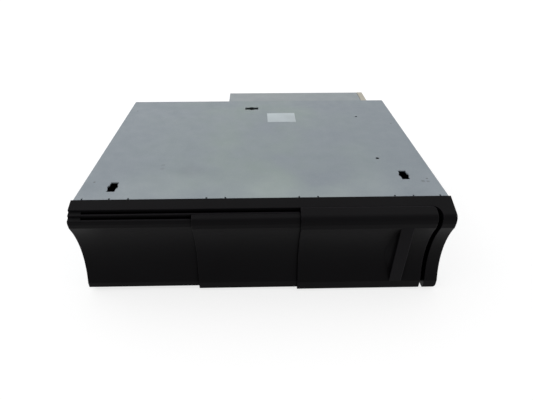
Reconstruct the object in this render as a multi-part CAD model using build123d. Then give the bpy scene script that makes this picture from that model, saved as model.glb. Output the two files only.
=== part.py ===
from build123d import *
import os
from math import atan, cos, degrees, pi, radians, sin

os.makedirs("parts", exist_ok=True)

# ---------------------------------------------------------------- driving sizes
# Casing, in millimetres. X to the right, Y to the back, Z up.
# While modelling, Y is 0 at the casing's front edge; everything is moved at the end
# so that the origin is under the middle of the whole object.
body_width = 260.0
body_depth = 190.0
body_height = 76.0
sheet = 1.0
lid_skirt = 13.0
rear_reach = 26.0
rear_width = 138.8
rear_height = 30.0

# Front bezel
bezel_overhang = 0.8
bezel_depth = 17.2
level_step = 1.7
panel_wall = 1.3
shell_wall = 2.0
running_gap = 0.2
bezel_foot = 0.1
bezel_drop = 2.8
roof_drop = 0.1
roof_slope = 0.36
belly_r = 4.6
toe_r = 2.8
cheek_u = 0.7
cheek_z = 3.9
lip_u = 0.2
lip_z = 4.5
crease_top_u = 16.5
crease_drop = 12.9
crease_low_z = 8.5
hollow_u = 8.4
hollow_z = 30.0

# Guide slots in the bezel's top and bottom bars, measured forward from the casing
slot_width = 1.7
rail_width = 1.0
top_strip = 8.0
low_strip = 3.6
slot_margin = 8.5
plate_u = 3.0

# Sliding door
seam_left_x = -47.9
seam_right_x = 25.8
door_margin = 12.7
cap_width = 9.4
panel_lap = 6.0
grip_inset = 14.7
grip_width = 8.9
cove_r = 5.6

# Magazine and its six trays
mag_margin = 24.0
mag_y0 = 7.0
mag_z0 = 29.0
mag_headroom = 17.0
mag_wall = 1.6
tray_count = 6
tray_edge = 1.4
tray_gap = 0.4

# Play unit, parked at the bottom of its lift
cam_ratio = 1.667647
plate_z = 12.0
plate_t = 1.2
pin_r = 1.6
pin_z = 9.0
spindle_r = 1.0
turntable_r = 14.0
rod_r = 1.5
screw_r = 1.6
shaft_fit = 0.05

# Places that follow from the sizes above
half_w = body_width / 2
wide = half_w + bezel_overhang
tall = 2 * body_height
bezel_top = body_height - bezel_drop
crease_top_z = bezel_top - crease_drop
y_mid = (body_depth + rear_reach - bezel_depth) / 2
slot_start_x = slot_margin - wide
door_right_x = wide - door_margin
cap_left_x = wide - cap_width
grip_x1 = door_right_x - grip_inset
grip_x0 = grip_x1 - grip_width

# The casing holds two discs side by side: one in the magazine, one being played.
disc_radius = (body_width - 20.0) / 4
tray_width = 2 * disc_radius + 2.0
mag_width = tray_width + 5.0
mag_length = 2 * disc_radius + 18.0
mag_height = body_height - mag_z0 - mag_headroom
mag_x1 = half_w - mag_margin
mag_x0 = mag_x1 - mag_width
mag_y1 = mag_y0 + mag_length
mag_z1 = mag_z0 + mag_height
tray_pitch = (mag_height - 4.8) / tray_count
tray_z0 = mag_z0 + 3.2
tray_x1 = mag_x1 - mag_wall - 0.9
tray_x0 = tray_x1 - tray_width
lug_x0 = tray_x0 - 6.1
notch_x0 = tray_x0 - 5.2
rib_y0 = mag_y0 + 2.0
rib_y1 = mag_y1 - mag_wall
edge_y0 = rib_y0 + tray_gap
edge_y1 = rib_y1 - tray_gap
disc_x = tray_x1 - 1.0 - disc_radius
disc_y = mag_y0 + mag_length / 2

doorway_x0 = mag_x0 - 4.2
doorway_x1 = mag_x1 + 1.6
doorway_z0 = mag_z0 - 1.0
doorway_z1 = mag_z1 + 1.4

frame_x0 = 4.0 - half_w
frame_x1 = mag_x1 + 3.5
frame_y0 = 3.4
frame_y1 = mag_y1 + 9.5
frame_z0 = 4.0
frame_z1 = mag_z1 + 3.0
bay_x = mag_x0 - 4.2
tray_travel = lug_x0 - frame_x0 - 1.4
play_x = disc_x - tray_travel

lift_travel = tray_z0 + (tray_count - 1) * tray_pitch - 19.2
cam_travel = lift_travel * cam_ratio
plate_x0 = frame_x0 + 7.0
plate_x1 = mag_x0 - 6.0
plate_y0 = 5.0
plate_y1 = frame_y1 - 3.5
cam_x0 = frame_x0 - 0.6
cam_x1 = plate_x1 + 3.0
cam_y0 = frame_y1 + 0.5
pin_xs = (cam_x0 + 3.9 + cam_travel, plate_x1 - 3.0)
front_pin_x = (plate_x0 + plate_x1) / 2
rack_z = pin_z + lift_travel + 5.0

house_x1 = half_w - 23.1
house_x0 = house_x1 - rear_width
house_y0 = body_depth + 0.05
house_y1 = body_depth + rear_reach
house_z0 = body_height - rear_height
conn_x0 = house_x1 + 0.6
conn_x1 = conn_x0 + 5.5
conn_z0 = house_z0 + 3.0


# ---------------------------------------------------------------- small helpers
def slab(x0, x1, y0, y1, z0, z1):
    return Pos((x0 + x1) / 2, (y0 + y1) / 2, (z0 + z1) / 2) * Box(x1 - x0, y1 - y0, z1 - z0)


def rod_x(x0, x1, y, z, r):
    return Pos((x0 + x1) / 2, y, z) * Rot(0, 90, 0) * Cylinder(r, x1 - x0)


def rod_y(x, y0, y1, z, r):
    return Pos(x, (y0 + y1) / 2, z) * Rot(90, 0, 0) * Cylinder(r, y1 - y0)


def rod_z(x, y, z0, z1, r):
    return Pos(x, y, (z0 + z1) / 2) * Cylinder(r, z1 - z0)


# Round pieces out of sight get flat sides, so that they stay light. The radius
# reaches to the corners; a bore's radius is widened so that its flats clear a shaft.
def flats(sides, r, long):
    return extrude(RegularPolygon(r, sides), amount=long)


def flat_rod_x(x0, x1, y, z, r, sides):
    return Pos(x0, y, z) * Rot(0, 90, 0) * flats(sides, r, x1 - x0)


def flat_rod_y(x, y0, y1, z, r, sides):
    return Pos(x, y1, z) * Rot(90, 0, 0) * flats(sides, r, y1 - y0)


def flat_rod_z(x, y, z0, z1, r, sides):
    return Pos(x, y, z0) * flats(sides, r, z1 - z0)


def across(r, sides):
    return r / cos(pi / sides)


def save(name, shape):
    export_step(Pos(0, -y_mid, 0) * shape, "parts/" + name + ".step")


# ---------------------------------------------------------------- the bezel's outline
# One closed outline in the YZ plane: a shallow S with a belly at the top, a long
# hollow below it and a small lip at the foot. The inset draws it in all round, which
# gives the three levels of the telescoping door and the two faces of each panel.
# u is the distance forward of the casing. The outline runs on behind the casing's
# front edge, so that every inset keeps a clean back.
hollow_cu = ((crease_top_u ** 2 + (crease_top_z - hollow_z) ** 2) - hollow_u ** 2) / (2 * (crease_top_u - hollow_u))
hollow_r = hollow_cu - hollow_u
crease_low_u = hollow_cu - (hollow_r ** 2 - (crease_low_z - hollow_z) ** 2) ** 0.5


# Where a straight line, drawn in by the inset, meets the inset hollow.
def meet_hollow(u, z, run_u, run_z, inset):
    long = (run_u ** 2 + run_z ** 2) ** 0.5
    run_u, run_z = run_u / long, run_z / long
    u, z = u - inset * run_z, z + inset * run_u
    off_u, off_z = u - hollow_cu, z - hollow_z
    along = off_u * run_u + off_z * run_z
    rest = off_u ** 2 + off_z ** 2 - (hollow_r + inset) ** 2
    roots = (-along - (along ** 2 - rest) ** 0.5, -along + (along ** 2 - rest) ** 0.5)
    step = min(roots, key=abs)
    return u, z, run_u, run_z, step


def outline_face(inset):
    back = 30.0
    lean_z = roof_slope / (1 + roof_slope ** 2) ** 0.5
    up_z = 1 / (1 + roof_slope ** 2) ** 0.5
    centre_u = bezel_depth - belly_r
    centre_z = body_height - roof_drop - roof_slope * centre_u - belly_r / up_z
    r = belly_r - inset
    roof_end = (centre_u + r * lean_z, centre_z + r * up_z)
    belly_mid = (centre_u + r * cos(radians(40)), centre_z + r * sin(radians(40)))
    belly_end = (centre_u + r, centre_z)
    u, z, run_u, run_z, step = meet_hollow(crease_top_u, crease_top_z, cheek_u, cheek_z, inset)
    high = (u + step * run_u, z + step * run_z)
    up = (belly_end[0] - u) / run_u
    cheek_end = (belly_end[0], z + up * run_z)
    u, z, run_u, run_z, step = meet_hollow(crease_low_u, crease_low_z, lip_u, lip_z, inset)
    low = (u + step * run_u, z + step * run_z)
    toe = max(toe_r - inset, 0.3)
    floor_z = bezel_foot + inset
    toe_z = floor_z + toe
    toe_u = u + run_u * (toe_z - z) / run_z - toe / run_z
    toe_side = (toe_u + toe * run_z, toe_z - toe * run_u)
    toe_mid = (toe_u + toe * cos(radians(-40)), toe_z + toe * sin(radians(-40)))
    floor_end = (toe_u, floor_z)
    hollow_mid = (hollow_cu - hollow_r - inset, hollow_z)
    top_back = (-back, roof_end[1] + roof_slope * (roof_end[0] + back))

    def at(point):
        return (-point[0], point[1])

    curve = Line(at((-back, floor_z)), at(floor_end))
    curve += ThreePointArc(at(floor_end), at(toe_mid), at(toe_side))
    curve += Line(at(toe_side), at(low))
    curve += ThreePointArc(at(low), at(hollow_mid), at(high))
    curve += Line(at(high), at(cheek_end))
    curve += Line(at(cheek_end), at(belly_end))
    curve += ThreePointArc(at(belly_end), at(belly_mid), at(roof_end))
    curve += Line(at(roof_end), at(top_back))
    curve += Line(at(top_back), at((-back, floor_z)))
    return make_face(Plane.YZ * curve)


# A solid of the outline, drawn in by inset, from x0 to x1, in front of the casing.
def bar(inset, x0, x1):
    solid = Pos(x0, 0, 0) * extrude(outline_face(inset), amount=x1 - x0, dir=(1, 0, 0))
    return solid & slab(x0 - 1, x1 + 1, -40, 0, -5, 90)


# The same, kept only from u0 to u1 forward and from z0 to z1 in height.
def bar_part(inset, x0, x1, u0, u1, z0, z1):
    return bar(inset, x0, x1) & slab(x0, x1, -u1, -u0, z0, z1)


slot1_u0 = top_strip
slot1_u1 = slot1_u0 + slot_width
slot2_u0 = slot1_u1 + rail_width
slot2_u1 = slot2_u0 + slot_width
low1_u0 = low_strip
low1_u1 = low1_u0 + slot_width
low2_u0 = low1_u1 + rail_width
low2_u1 = low2_u0 + slot_width
top_z = bezel_top - 11.7
low_z1 = 10.0

# ---------------------------------------------------------------- front bezel
left_hidden_x = seam_left_x + panel_lap
short_slot_x = seam_right_x + panel_lap + 4.2
shell = bar(2 * level_step, -wide, left_hidden_x)
pocket = Pos(0, shell_wall, 0) * bar(2 * level_step, -wide + shell_wall, left_hidden_x + 1)
shell -= pocket & slab(-wide, wide, -tall, 5, low_z1 - 1, top_z + 0.5)
top_bar = bar_part(0, -wide, wide, 0, slot1_u0, top_z, tall)
top_bar += bar_part(level_step, -wide, wide, 0, slot2_u0, top_z, tall)
top_bar += bar_part(2 * level_step, -wide, wide, 0, slot2_u1 + 2.0, top_z, tall)
low_bar = bar_part(0, -wide, wide, 0, low1_u0, 0, low_z1)
low_bar += bar_part(level_step, -wide, wide, 0, low2_u0, 0, low_z1)
low_bar += bar_part(2 * level_step, -wide, wide, 0, low2_u1 + 1.7, 0, low_z1)
face_plate = slab(-wide + 1, wide - 1, -plate_u, 0, low_z1 - 2, bezel_top - 5.2)
face_plate -= slab(doorway_x0, doorway_x1, -10, 5, doorway_z0, doorway_z1)
bezel = shell + top_bar + low_bar + face_plate
bezel -= slab(slot_start_x, door_right_x + 0.1, -slot1_u1, -slot1_u0, bezel_top - 7.0, tall)
bezel -= slab(slot_start_x, short_slot_x, -slot2_u1, -slot2_u0, bezel_top - 9.6, tall)
bezel -= slab(slot_start_x, door_right_x + 0.1, -low1_u1, -low1_u0, -5, 6.6)
bezel -= slab(slot_start_x, short_slot_x, -low2_u1, -low2_u0, -5, 7.6)
bezel -= slab(door_right_x, cap_left_x, -30, -top_strip, 3, tall)
bezel -= slab(door_right_x, cap_left_x, -30, -low1_u1, -5, top_z + 0.5)
cap = bar(0, cap_left_x, wide) - bar(2.2, cap_left_x + 1.8, wide - 1.9)
bezel += cap
corner_r = 6.0
corner = bar_part(0, cap_left_x - corner_r, cap_left_x, top_strip, top_strip + corner_r, bezel_top - 9.2, tall)
corner -= rod_z(cap_left_x - corner_r, -top_strip - corner_r, 0, tall, corner_r)
bezel += corner
front_card = Plane.XZ * RectangleRounded(2 * wide, tall, 4.5)
card = extrude(Pos(0, 40, body_height + bezel_foot) * front_card, amount=80, dir=(0, -1, 0))
bezel = bezel & card

# ---------------------------------------------------------------- door panels
hook = slot_width - 2 * running_gap


def door_panel(inset, x0, x1, top_u, low_u, hook_top_z, hook_low_z):
    ring = bar(inset, x0, x1) - bar(inset + panel_wall, x0 - 1, x1 + 1)
    ring -= slab(x0 - 1, x1 + 1, -top_u, 5, top_z + 0.5, tall)
    ring -= slab(x0 - 1, x1 + 1, -low_u, 5, -5, 9)
    ring += bar_part(inset, x0, x1, top_u, top_u + hook, hook_top_z, tall)
    ring += bar_part(inset, x0, x1, low_u, low_u + hook, -5, hook_low_z)
    return ring


middle = door_panel(
    level_step, seam_left_x, seam_right_x + panel_lap,
    slot2_u0 + running_gap, low2_u0 + running_gap, bezel_top - 9.0, 7.0,
)
right = door_panel(
    0, seam_right_x, door_right_x,
    slot1_u0 + running_gap, low1_u0 + running_gap, bezel_top - 6.4, 6.0,
)
rim = bar(0, door_right_x - panel_wall, door_right_x) - Pos(0, 4.0, 0) * bar(0, door_right_x - 2, door_right_x + 1)
right += rim & slab(door_right_x - 5, door_right_x + 1, -30, 0, 10.5, bezel_top - 14.2)
round_r = 3.0
round_off = slab(door_right_x - round_r, door_right_x + 1, -top_strip - round_r, 0, bezel_top - 13.2, tall)
round_off -= rod_z(door_right_x - round_r, -top_strip - round_r - 0.2, 0, tall, round_r)
right -= round_off

# The upright finger grip: a straight bar across the hollow, with a cove on its left.
grip_top = (-crease_top_u, crease_top_z)
grip_low = (-crease_low_u, crease_low_z)
grip_face = make_face(
    Plane.YZ * (Line(grip_top, grip_low) + ThreePointArc(grip_low, (-hollow_u + 0.5, hollow_z), grip_top))
)
grip = Pos(grip_x0, 0, 0) * extrude(grip_face, amount=grip_x1 - grip_x0, dir=(1, 0, 0))
cove = Pos(grip_x0 - cove_r, 0, 0) * extrude(grip_face, amount=cove_r, dir=(1, 0, 0))
chord = Vector(0, grip_low[0] - grip_top[0], grip_low[1] - grip_top[1])
cove_plane = Plane(origin=(grip_x0 - cove_r, grip_top[0], grip_top[1]), z_dir=chord.normalized())
cutter = cove_plane * Pos(0, 0, chord.length / 2) * Cylinder(cove_r - 0.05, chord.length + 20)
cove -= cutter
right += grip + cove

# ---------------------------------------------------------------- top cover
lid_z = body_height - sheet
cover = slab(-half_w, half_w, 0, body_depth, body_height - lid_skirt, body_height)
cover = fillet(cover.edges().filter_by(Axis.Y).group_by(Axis.Z)[-1], 1.6)
cover -= slab(-half_w + sheet, half_w - sheet, sheet, body_depth - sheet, 0, lid_z)
cover -= slab(-half_w - 1, half_w + 1, -1, sheet, 0, body_height - 2.6)
for tab_x in (31.5 - half_w, -32.0, 32.0, half_w - 31.5):
    cover += slab(tab_x - 5.9, tab_x + 5.9, 0, sheet, body_height - 9.0, body_height - 2.0)
    for side in (-1, 1):
        notch_x = tab_x + side * 6.5
        cover -= slab(notch_x - 0.6, notch_x + 0.6, -1, 1.6, 0, body_height + 1)
for notch_x in (6.3 - half_w, half_w - 6.3):
    cover -= slab(notch_x - 0.6, notch_x + 0.6, -1, 1.6, 0, body_height + 1)
lock_points = ((23.2 - half_w, 16.7, 0), (half_w - 23.5, 29.8, 0), (-8.1, body_depth - 21.2, 90))
for lock_x, lock_y, turn in lock_points:
    hole = Box(5.8, 13.0, 10) + Cylinder(3.85, 10)
    cover -= Pos(lock_x, lock_y, body_height) * Rot(0, 0, turn) * hole
front_hole_x = half_w - 36.9
rear_hole_x = half_w - 37.0
rear_hole_y = body_depth - 45.0
cover -= flat_rod_z(front_hole_x, 57.3, lid_z - 1, body_height + 1, 1.5, 16)
cover -= flat_rod_z(rear_hole_x, rear_hole_y, lid_z - 1, body_height + 1, 1.3, 16)
cover -= slab(house_x0, conn_x1 + 0.4, body_depth - 3, body_depth + 1, 0, lid_z)
side_trim = half_w - 3.6
cover -= slab(-half_w - 1, -side_trim, -1, sheet, 0, lid_z) + slab(side_trim, half_w + 1, -1, sheet, 0, lid_z)
screw_ys = (18.0, body_depth - 18.0)
screw_z = body_height - 7.0
cover_screw_r = 1.5
screw_hole_r = across(cover_screw_r + 0.1, 8)
for screw_y in screw_ys:
    cover -= flat_rod_x(-half_w - 10, half_w + 10, screw_y, screw_z, screw_hole_r, 8)

# ---------------------------------------------------------------- bottom chassis
chassis_half = half_w - sheet - 0.1
chassis_back = body_depth - sheet - 0.1
wall_top = lid_z - 0.1
chassis = slab(-chassis_half, chassis_half, 0.1, chassis_back, 0, wall_top)
chassis -= slab(-chassis_half + sheet, chassis_half - sheet, -1, chassis_back - sheet, sheet, tall)
chassis += slab(-chassis_half + sheet, chassis_half - sheet, 0.1, sheet, sheet, 7.0)
for screw_y in screw_ys:
    chassis -= flat_rod_x(-half_w - 10, half_w + 10, screw_y, screw_z, screw_hole_r, 8)
board_x0 = mag_x0 + 16.0
board_x1 = mag_x1 - 2.0
board_y0 = 24.0
board_y1 = body_depth - 42.0
board_z = 8.0
for post_x in (board_x0 + 5, board_x1 - 5):
    for post_y in (board_y0 + 5, board_y1 - 5):
        chassis += slab(post_x - 2.2, post_x + 2.2, post_y - 2.2, post_y + 2.2, sheet - 0.2, board_z)
bracket_spacing = 100.0
bracket_y0 = (body_depth - bracket_spacing) / 2
bracket_z = 40.0
bracket_r = 2.1
nut_t = 1.0
nut = Rot(0, 90, 0) * extrude(RegularPolygon(4.2, 6), amount=nut_t)
for bracket_y in (bracket_y0, bracket_y0 + bracket_spacing):
    chassis += Pos(sheet - chassis_half, bracket_y, bracket_z) * nut
    chassis += Pos(chassis_half - sheet - nut_t, bracket_y, bracket_z) * nut
    chassis -= rod_x(-half_w - 10, half_w + 10, bracket_y, bracket_z, bracket_r)
chassis -= slab(house_x0 + 1.9, house_x1 - 1.7, chassis_back - 3, chassis_back + 1, house_z0 + 1.0, tall)
chassis -= slab(conn_x0 - 0.5, conn_x1 + 0.6, chassis_back - 3, chassis_back + 1, house_z0 + 2.0, tall)

# ---------------------------------------------------------------- rear housing and connector
rear_house = slab(house_x0, house_x1, house_y0, house_y1, house_z0, body_height)
rear_house = fillet(rear_house.edges().filter_by(Axis.X).group_by(Axis.Z)[-1].group_by(Axis.Y)[-1], 1.2)
rear_house -= slab(house_x0 + sheet, house_x1 - sheet, house_y0 - 1, house_y1 - sheet, house_z0 + sheet, lid_z)
conn = slab(conn_x0, conn_x1, body_depth - 6, house_y1, conn_z0, body_height - 0.2)
conn -= slab(conn_x0, conn_x1, body_depth - 7, body_depth + 0.2, body_height - 3, body_height)
conn -= slab(conn_x0 + 0.9, conn_x1 - 0.9, house_y1 - 16, house_y1 + 1, conn_z0 + 1.5, body_height - 2.2)
contacts = []
contact_pitch = (body_height - conn_z0 - 8.1) / 7
for row in range(8):
    contact_z = conn_z0 + 4.0 + row * contact_pitch
    contacts.append(slab(conn_x0 + 2.5, conn_x0 + 3.0, body_depth - 8, house_y1 - 5, contact_z - 0.25, contact_z + 0.25))
pins = Compound(contacts)
for contact in contacts:
    conn -= contact

# ---------------------------------------------------------------- label and screws
label = slab(7.0, 33.8, body_depth - 56.8, body_depth - 34.5, body_height, body_height + 0.1)
screws = []
for side in (-1, 1):
    for screw_y in screw_ys:
        one = flat_rod_x(0, 0.6, screw_y, screw_z, 2.8, 20)
        one += flat_rod_x(-3.6, 0, screw_y, screw_z, cover_screw_r, 8)
        placed = Pos(half_w, 0, 0) * one
        screws.append(placed if side > 0 else mirror(placed, about=Plane.YZ))
cover_screws = Compound(screws)

# ---------------------------------------------------------------- magazine
case_top = mag_z1 - mag_wall
case = slab(mag_x0, mag_x1, mag_y0, mag_y1, mag_z0, case_top)
case -= slab(mag_x0 - 1, mag_x1 - mag_wall, rib_y0, rib_y1, mag_z0 + mag_wall, tall)
rib_depth = 2.4
for row in range(tray_count + 1):
    rib_z1 = tray_z0 + row * tray_pitch - tray_gap
    rib_z0 = rib_z1 - (tray_pitch - tray_edge - 2 * tray_gap)
    rib_z0 = max(rib_z0, mag_z0 + mag_wall - 0.1)
    rib_z1 = min(rib_z1, case_top)
    case += slab(mag_x0, mag_x1 - mag_wall, rib_y0 - 0.5, rib_y0 + rib_depth, rib_z0, rib_z1)
    case += slab(mag_x0, mag_x1 - mag_wall, rib_y1 - rib_depth, rib_y1 + 0.5, rib_z0, rib_z1)
mag_mid = (mag_x0 + mag_x1) / 2
case -= slab(mag_mid - 12.5, mag_mid + 12.5, mag_y0 - 1, mag_y0 + 1.0, mag_z0 + 6, mag_z1 - 8)
lid = slab(mag_x0, mag_x1, mag_y0, mag_y1, case_top, mag_z1)
lid -= slab(disc_x - 30, disc_x + 30, disc_y - 30, disc_y + 30, mag_z1 - 0.5, mag_z1 + 1)

# A tray is a thin plate with a round seat for the disc, an open middle for the
# turntable, a slot for the pickup and a notched lug at its front left corner.
# The seat's rim has 48 short sides, since it comes six times.
seat_sides = 48
seat = RegularPolygon(disc_radius + 0.5, seat_sides, major_radius=False)
trays = []
for row in range(tray_count):
    low_z = tray_z0 + row * tray_pitch
    tray = slab(tray_x0, tray_x1, edge_y0, edge_y1, low_z, low_z + tray_edge)
    tray += slab(tray_x0, tray_x1, edge_y0 + 3.6, edge_y1 - 3.6, low_z - 0.6, low_z + 2.0)
    tray -= Pos(disc_x, disc_y, low_z + 0.4) * extrude(seat, amount=5)
    tray -= slab(tray_x0 - 1, disc_x + 19, disc_y - 20, disc_y + 20, low_z - 5, low_z + 5)
    tray -= slab(disc_x - 19, disc_x + 19, disc_y, disc_y + disc_radius - 4, low_z - 5, low_z + 5)
    tray += slab(lug_x0, tray_x0 + 1, edge_y0, edge_y0 + 3.4, low_z, low_z + tray_edge)
    tray -= slab(notch_x0, notch_x0 + 2.2, edge_y0 - 1, edge_y0 + 2.3, low_z - 1, low_z + 3)
    trays.append(tray)

# ---------------------------------------------------------------- mechanism frame
front_wall = slab(frame_x0, bay_x, frame_y0, frame_y0 + 1, frame_z0, frame_z1)
front_wall -= slab(front_pin_x - 1.7, front_pin_x + 1.7, 0, 10, 7.0, pin_z + lift_travel + 4)
rear_wall = slab(frame_x0, frame_x1, frame_y1 - 1, frame_y1, frame_z0, frame_z1)
for pin_x in pin_xs:
    slot_z0 = pin_z - 2.5
    rear_wall -= slab(pin_x - 1.7, pin_x + 1.7, frame_y1 - 4, frame_y1 + 5, slot_z0, slot_z0 + lift_travel + 5)
left_wall = slab(frame_x0, frame_x0 + 0.8, frame_y0, frame_y1, frame_z0, frame_z1)
right_wall = slab(frame_x1 - 1, frame_x1, frame_y0, frame_y1, frame_z0, frame_z1)
floor_z0 = mag_z0 - 2.2
floor_z1 = mag_z0 - 1.2
bay_floor = slab(bay_x, frame_x1, frame_y0, frame_y1, floor_z0, floor_z1)
bay_floor -= slab(disc_x - 34, disc_x + 34, disc_y - 34, disc_y + 34, floor_z0 - 1, floor_z1 + 1)
bay_floor -= slab(bay_x - 1, notch_x0 + 3.2, frame_y0 - 1, 14.0, floor_z0 - 1, floor_z1 + 1)
roof = slab(bay_x, frame_x1, 14.0, frame_y1, frame_z1 - 1, frame_z1)
roof -= slab(disc_x - 40, disc_x + 40, disc_y - 40, disc_y + 40, frame_z1 - 2, frame_z1 + 1)
frame = front_wall + rear_wall + left_wall + right_wall + bay_floor + roof
for rail_x in (mag_x0 + 6.0, mag_x1 - 8.0):
    frame += slab(rail_x, rail_x + 4, frame_y0 + 2, frame_y1 - 6, floor_z1, mag_z0 - 0.2)

# Three shelves reach up to the transport locks under the cover's cut-outs.
shelf_z0 = body_height - 9.0
shelf_z1 = body_height - 8.0
foot_z = frame_z1 - 1
left_lock, right_lock, rear_lock = lock_points
frame += slab(left_lock[0] - 5.5, left_lock[0] + 5.5, frame_y0, left_lock[1] + 5.5, shelf_z0, shelf_z1)
frame += slab(left_lock[0] - 5.5, left_lock[0] + 5.5, frame_y0, frame_y0 + 1, foot_z, shelf_z1)
frame += slab(right_lock[0] - 5.5, frame_x1, right_lock[1] - 5.5, right_lock[1] + 5.5, shelf_z0, shelf_z1)
frame += slab(frame_x1 - 1, frame_x1, right_lock[1] - 5.5, right_lock[1] + 5.5, foot_z, shelf_z1)
frame += slab(rear_lock[0] - 5.5, rear_lock[0] + 5.5, frame_y1 - 1, rear_lock[1] + 5.5, shelf_z0, shelf_z1)
frame += slab(rear_lock[0] - 5.5, rear_lock[0] + 5.5, frame_y1 - 1, frame_y1, foot_z, shelf_z1)
for lock_x, lock_y, turn in lock_points:
    frame -= flat_rod_z(lock_x, lock_y, shelf_z0 - 1, shelf_z1 + 1, 2.0, 12)

# Four oil dampers carry the frame on small shelves.
damper_top = 14.0
damper_r = 5.5
pad = damper_r + 0.5
rear_damper_y = body_depth - 19.0
front_damper_y = 14.0
damper_spots = (
    (18.0 - half_w, rear_damper_y), (half_w - 35.0, rear_damper_y),
    (half_w - 14.0, front_damper_y), (mag_x0 + 25.0, front_damper_y),
)
over_z = rack_z + 2.5
spot_x = damper_spots[0][0]
frame += slab(spot_x - pad, spot_x + pad, frame_y1 - 1, rear_damper_y + pad, over_z, over_z + 1)
frame += slab(spot_x - pad, spot_x + pad, rear_damper_y + pad - 1, rear_damper_y + pad, damper_top, over_z + 1)
frame += slab(spot_x - pad, spot_x + pad, rear_damper_y - pad, rear_damper_y + pad, damper_top, damper_top + 1)
spot_x = damper_spots[1][0]
frame += slab(spot_x - pad, spot_x + pad, frame_y1 - 1, rear_damper_y + pad, damper_top, damper_top + 1)
spot_x = damper_spots[2][0]
frame += slab(frame_x1 - 1, spot_x + pad, front_damper_y - pad, front_damper_y + pad, damper_top, damper_top + 1)
spot_x = damper_spots[3][0]
frame += slab(spot_x - pad, spot_x + pad, front_damper_y - pad, front_damper_y + pad, damper_top, damper_top + 1)
frame += slab(spot_x - pad, spot_x - pad + 1, front_damper_y - pad, front_damper_y + pad, damper_top, floor_z0 + 0.2)
cup = flats(16, damper_r, damper_top - sheet)
oil_dampers = Compound([Pos(spot_x, spot_y, sheet) * cup for spot_x, spot_y in damper_spots])

# ---------------------------------------------------------------- play unit
plate = slab(plate_x0, plate_x1, plate_y0, plate_y1, plate_z, plate_z + plate_t)
plate += slab(plate_x0, plate_x0 + plate_t, plate_y0, plate_y1, 6.0, plate_z)
plate += slab(plate_x1 - plate_t, plate_x1, plate_y0, plate_y1, 6.0, plate_z)
plate += slab(plate_x0, plate_x1, plate_y0, plate_y0 + plate_t, 6.0, plate_z)
plate += slab(plate_x0, plate_x1, plate_y1 - plate_t, plate_y1, 6.0, 17.0)
plate -= slab(play_x - 19.5, play_x + 19.5, disc_y + 8, plate_y1 - 4, 10, 20)
plate -= slab(play_x - 5.0, play_x + 5.0, disc_y - 5.0, disc_y + 5.0, 10, 20)
plate -= slab(plate_x0 + 10.0, plate_x0 + 24.0, 20.0, plate_y1 - 21.0, 10, 20)
plate -= slab(play_x - 26.0, play_x + 17.5, 14.0, disc_y - 24.0, 10, 20)
for pin_x in pin_xs:
    plate += flat_rod_y(pin_x, plate_y1 - 0.6, cam_y0 + 2.6, pin_z, pin_r, 12)
plate += flat_rod_y(front_pin_x, frame_y0 - 1.0, plate_y0 + 0.6, pin_z + 1.0, pin_r, 12)
ear_y = plate_y1 - 4.0
ear_z = 24.7
pivot_r = 1.2
for ear_x in (play_x - 17.0, play_x + 15.8):
    ear = slab(ear_x, ear_x + plate_t, ear_y - 2.6, plate_y1, plate_z, ear_z + 2.6)
    ear -= rod_x(ear_x - 1, ear_x + 3, ear_y, ear_z, pivot_r + shaft_fit)
    plate += ear
rod_xs = (play_x - 14.5, play_x + 14.5)
screw_x = play_x - 22.0
for lug_x in rod_xs:
    plate += slab(lug_x - 2.5, lug_x + 2.5, disc_y + 6.5, disc_y + 8, 6.5, plate_z + 0.2)
for lug_x in rod_xs:
    plate -= flat_rod_y(lug_x, disc_y + 5, disc_y + 9, pin_z, across(rod_r, 8), 8)
plate -= slab(screw_x - 5.6, screw_x + 5.6, disc_y - 18, disc_y + 4.5, 10, 20)

# A slotted strip along the front edge guides the tray puller.
strip_x0 = frame_x0 + 1.2
strip_x1 = notch_x0 + 1.5
strip_y1 = edge_y0 - 0.3
guide_y0 = plate_y0 + 1.6
guide_y1 = guide_y0 + 1.0
plate += slab(strip_x0, strip_x1, plate_y0, strip_y1, plate_z, plate_z + plate_t)
plate -= slab(strip_x0 + 0.8, strip_x1 + 2.0, guide_y0, guide_y1, 10, 20)

motor = flat_rod_z(play_x, disc_y, 4.2, plate_z, 10.5, 24)
motor -= rod_z(play_x, disc_y, 4.0, 20, spindle_r + shaft_fit)
rim_z = 18.1
table = flat_rod_z(play_x, disc_y, rim_z, rim_z + 2.0, turntable_r, 32)
cone_low = Pos(play_x, disc_y, rim_z + 2.0) * RegularPolygon(7.4, 16)
cone_high = Pos(play_x, disc_y, rim_z + 3.6) * RegularPolygon(5.4, 16)
table += loft([cone_low, cone_high], ruled=True)
table += rod_z(play_x, disc_y, 6.0, rim_z + 0.1, spindle_r)

arm_z0 = 25.7
arm_z1 = arm_z0 + 1.2
arm = slab(play_x - 10.0, play_x + 10.0, disc_y, ear_y - 1.0, arm_z0, arm_z1)
arm += flat_rod_z(play_x, disc_y, arm_z0, arm_z1, 10.0, 16)
arm -= slab(play_x - 6.0, play_x + 6.0, disc_y + 20, ear_y - 11.0, 20, 30)
arm -= flat_rod_z(play_x, disc_y, 20, 30, across(4.3, 16), 16)
arm += rod_x(play_x - 17.6, play_x + 17.6, ear_y, ear_z, pivot_r)
for side in (-1, 1):
    cheek_x = play_x + side * 9.4
    arm += slab(cheek_x - 0.6, cheek_x + 0.6, ear_y - 4.5, ear_y + 1.4, ear_z - 1.8, arm_z1)
puck = flat_rod_z(play_x, disc_y, 22.1, 24.9, 13.0, 32)
puck += flat_rod_z(play_x, disc_y, 24.8, 27.7, 4.0, 16)
puck += flat_rod_z(play_x, disc_y, 27.3, 28.5, 6.2, 16)

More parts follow.
